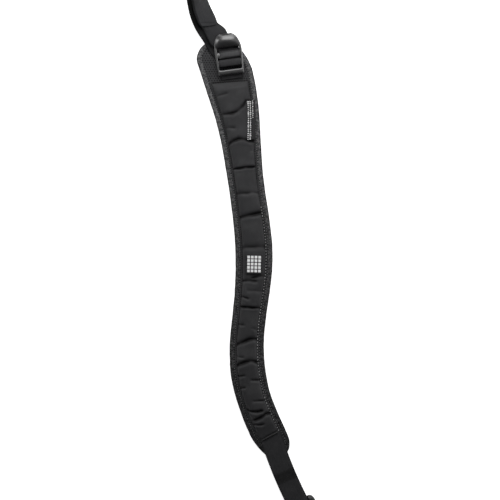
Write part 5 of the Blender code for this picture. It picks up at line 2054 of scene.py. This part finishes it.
for number, column in enumerate(TICK_COLUMNS, start=1):
    row_of(
        f"tag_ticks_{number}", "label_cloth", [tick_run(column["across"], column["last"])],
        PALE_YARN, Spacing=0.0021, Long=0.0015, Wide=column["wide"], High=0.0003, Vary=0.30,
        Seed=column["seed"])
print(f"tag: {len(TICK_COLUMNS)} columns of ticks")

# %% [markdown]
# The badge has a plain grid of pale squares. The grid recipe sets out the squares flat,
# bends them with the badge, and then turns and places them.


# %% Recipe for a grid of squares
def grid_recipe():
    recipe = Recipe(
        "grid_of_squares", Across="Int", Along="Int", Wide="Float", Long="Float",
        Square="Float", High="Float", Bend="Float", Turn="Float", Place="Vector",
        Finish="Material")
    given = recipe.given
    grid = recipe.add(
        "GeometryNodeMeshGrid", {},
        {"Size X": given["Wide"], "Size Y": given["Long"],
         "Vertices X": given["Across"], "Vertices Y": given["Along"]})
    size = recipe.add(
        "ShaderNodeCombineXYZ", {},
        {"X": given["Square"], "Y": given["Square"], "Z": given["High"]})
    square = recipe.add(
        "GeometryNodeMeshCube", {},
        {"Size": size, "Vertices X": 3, "Vertices Y": 2, "Vertices Z": 2})
    squares = recipe.add(
        "GeometryNodeInstanceOnPoints", {}, {"Points": grid, "Instance": square})
    real = recipe.add("GeometryNodeRealizeInstances", {}, {"Geometry": squares})
    where = recipe.add("GeometryNodeInputPosition", {}, {})
    across = recipe.add("ShaderNodeSeparateXYZ", {}, {0: where})
    bent = recipe.math("MULTIPLY", across, across)
    sag = recipe.math("MULTIPLY", bent, given["Bend"])
    down = recipe.math("MULTIPLY", sag, -1.0)
    offset = recipe.add("ShaderNodeCombineXYZ", {}, {"X": 0.0, "Y": 0.0, "Z": down})
    curved = recipe.add(
        "GeometryNodeSetPosition", {}, {"Geometry": real, "Offset": offset})
    euler = recipe.add("ShaderNodeCombineXYZ", {}, {"X": 0.0, "Y": 0.0, "Z": given["Turn"]})
    turn = recipe.add("FunctionNodeEulerToRotation", {}, {0: euler})
    placed = recipe.add(
        "GeometryNodeTransform", {},
        {"Geometry": curved, "Translation": given["Place"], "Rotation": turn})
    recipe.close(placed, given["Finish"])
    return recipe


SQUARES = grid_recipe()
print("grid recipe inputs:", ", ".join(SQUARES.names))

# %% Inlay the badge's squares
INLAY_LIFT = 0.00008
blank = shown("badge_squares", bpy.data.meshes.new("badge_squares"))
squares = make(
    SQUARES, blank, Across=4, Along=5, Wide=0.0126, Long=0.0160, Square=0.0031,
    High=0.0004, Bend=BADGE_BEND, Turn=math.atan2(-BADGE.along.x, BADGE.along.y),
    Place=tuple(BADGE.at(0, 0, BADGE_FLOOR + BADGE_THICK + INLAY_LIFT)), Finish=PALE_INK)
settle(reshaded(squares), "badge_rubber")
print(f"badge: {len(squares.data.polygons)} faces of inlay")

# %% [markdown]
# ## Stage
# The strap lies on a plain white table under a wide soft light, with a smaller one at each
# side for the edges of the plastic. The camera looks straight down from far enough away
# that the edges stay parallel. The world gives little light, but is pale where a view from
# the side sees past the table.


# %% Table and lights
TABLE_HALF = 12.0
LAMPS = [
    {"name": "key", "place": (0.06, 0.78, 0.78), "size": 0.92, "power": 9.3},
    {"name": "side", "place": (1.10, 0.45, 0.70), "size": 0.4, "power": 2.6},
    {"name": "rim", "place": (-0.80, 0.46, 0.50), "size": 0.36, "power": 1.8},
]


def table_top():
    bm = bmesh.new()
    bmesh.ops.create_grid(bm, x_segments=8, y_segments=8, size=TABLE_HALF)
    finish = Finish("table_top", Roughness=0.9, Emission_Strength=0.9)
    place = finish.place()
    mottle = finish.noise(place, 3.0)
    finish.feed("Base Color", finish.mix(mottle, (0.86, 0.86, 0.86), (0.88, 0.88, 0.88)))
    finish.shader.inputs["Emission Color"].default_value = (1, 1, 1, 1)
    return thing_of("table_top", bm, finish.material)


def soft_light(name, place, size, power):
    """A square light of a size in metres and a power in watts, turned to the strap."""
    light = bpy.data.lights.new(name, "AREA")
    light.shape = "SQUARE"
    light.size = size
    light.energy = power
    lamp = shown(name, light)
    lamp.location = place
    lamp.rotation_euler = (-Vector(place)).to_track_quat("-Z", "Y").to_euler()


table_top()
for lamp in LAMPS:
    soft_light(**lamp)
print(f"stage: a table and {len(LAMPS)} soft lights")

# %% World and camera
FILM_WIDE = 36.0
STRAP_FACE = 0.008


def pale_studio(light, wall):
    """A white world that gives little light of its own, and is pale where it is seen."""
    world = bpy.data.worlds.new("studio")
    world.use_nodes = True
    tree = world.node_tree
    background = tree.nodes["Background"]
    background.inputs["Color"].default_value = (1, 1, 1, 1)
    path = tree.nodes.new("ShaderNodeLightPath")
    level = tree.nodes.new("ShaderNodeMapRange")
    level.inputs["To Min"].default_value = light
    level.inputs["To Max"].default_value = wall
    tree.links.new(path.outputs["Is Camera Ray"], level.inputs["Value"])
    tree.links.new(level.outputs["Result"], background.inputs["Strength"])
    return world


def look_down(height, wide, middle):
    """A camera straight above a point that takes in a width of the table."""
    view = bpy.data.cameras.new("view")
    view.sensor_width = FILM_WIDE
    view.lens = FILM_WIDE * height / wide
    view.clip_end = 50.0
    camera = shown("view", view)
    camera.location = (middle[0], middle[1], height + STRAP_FACE)
    bpy.context.scene.camera = camera


bpy.context.scene.world = pale_studio(light=0.06, wall=0.97)
bpy.context.scene.view_settings.view_transform = "Standard"
look_down(height=1.75, wide=0.580, middle=(-0.0045, -0.0003))
print(f"camera: {bpy.context.scene.camera.data.lens:.0f} mm lens, straight above")
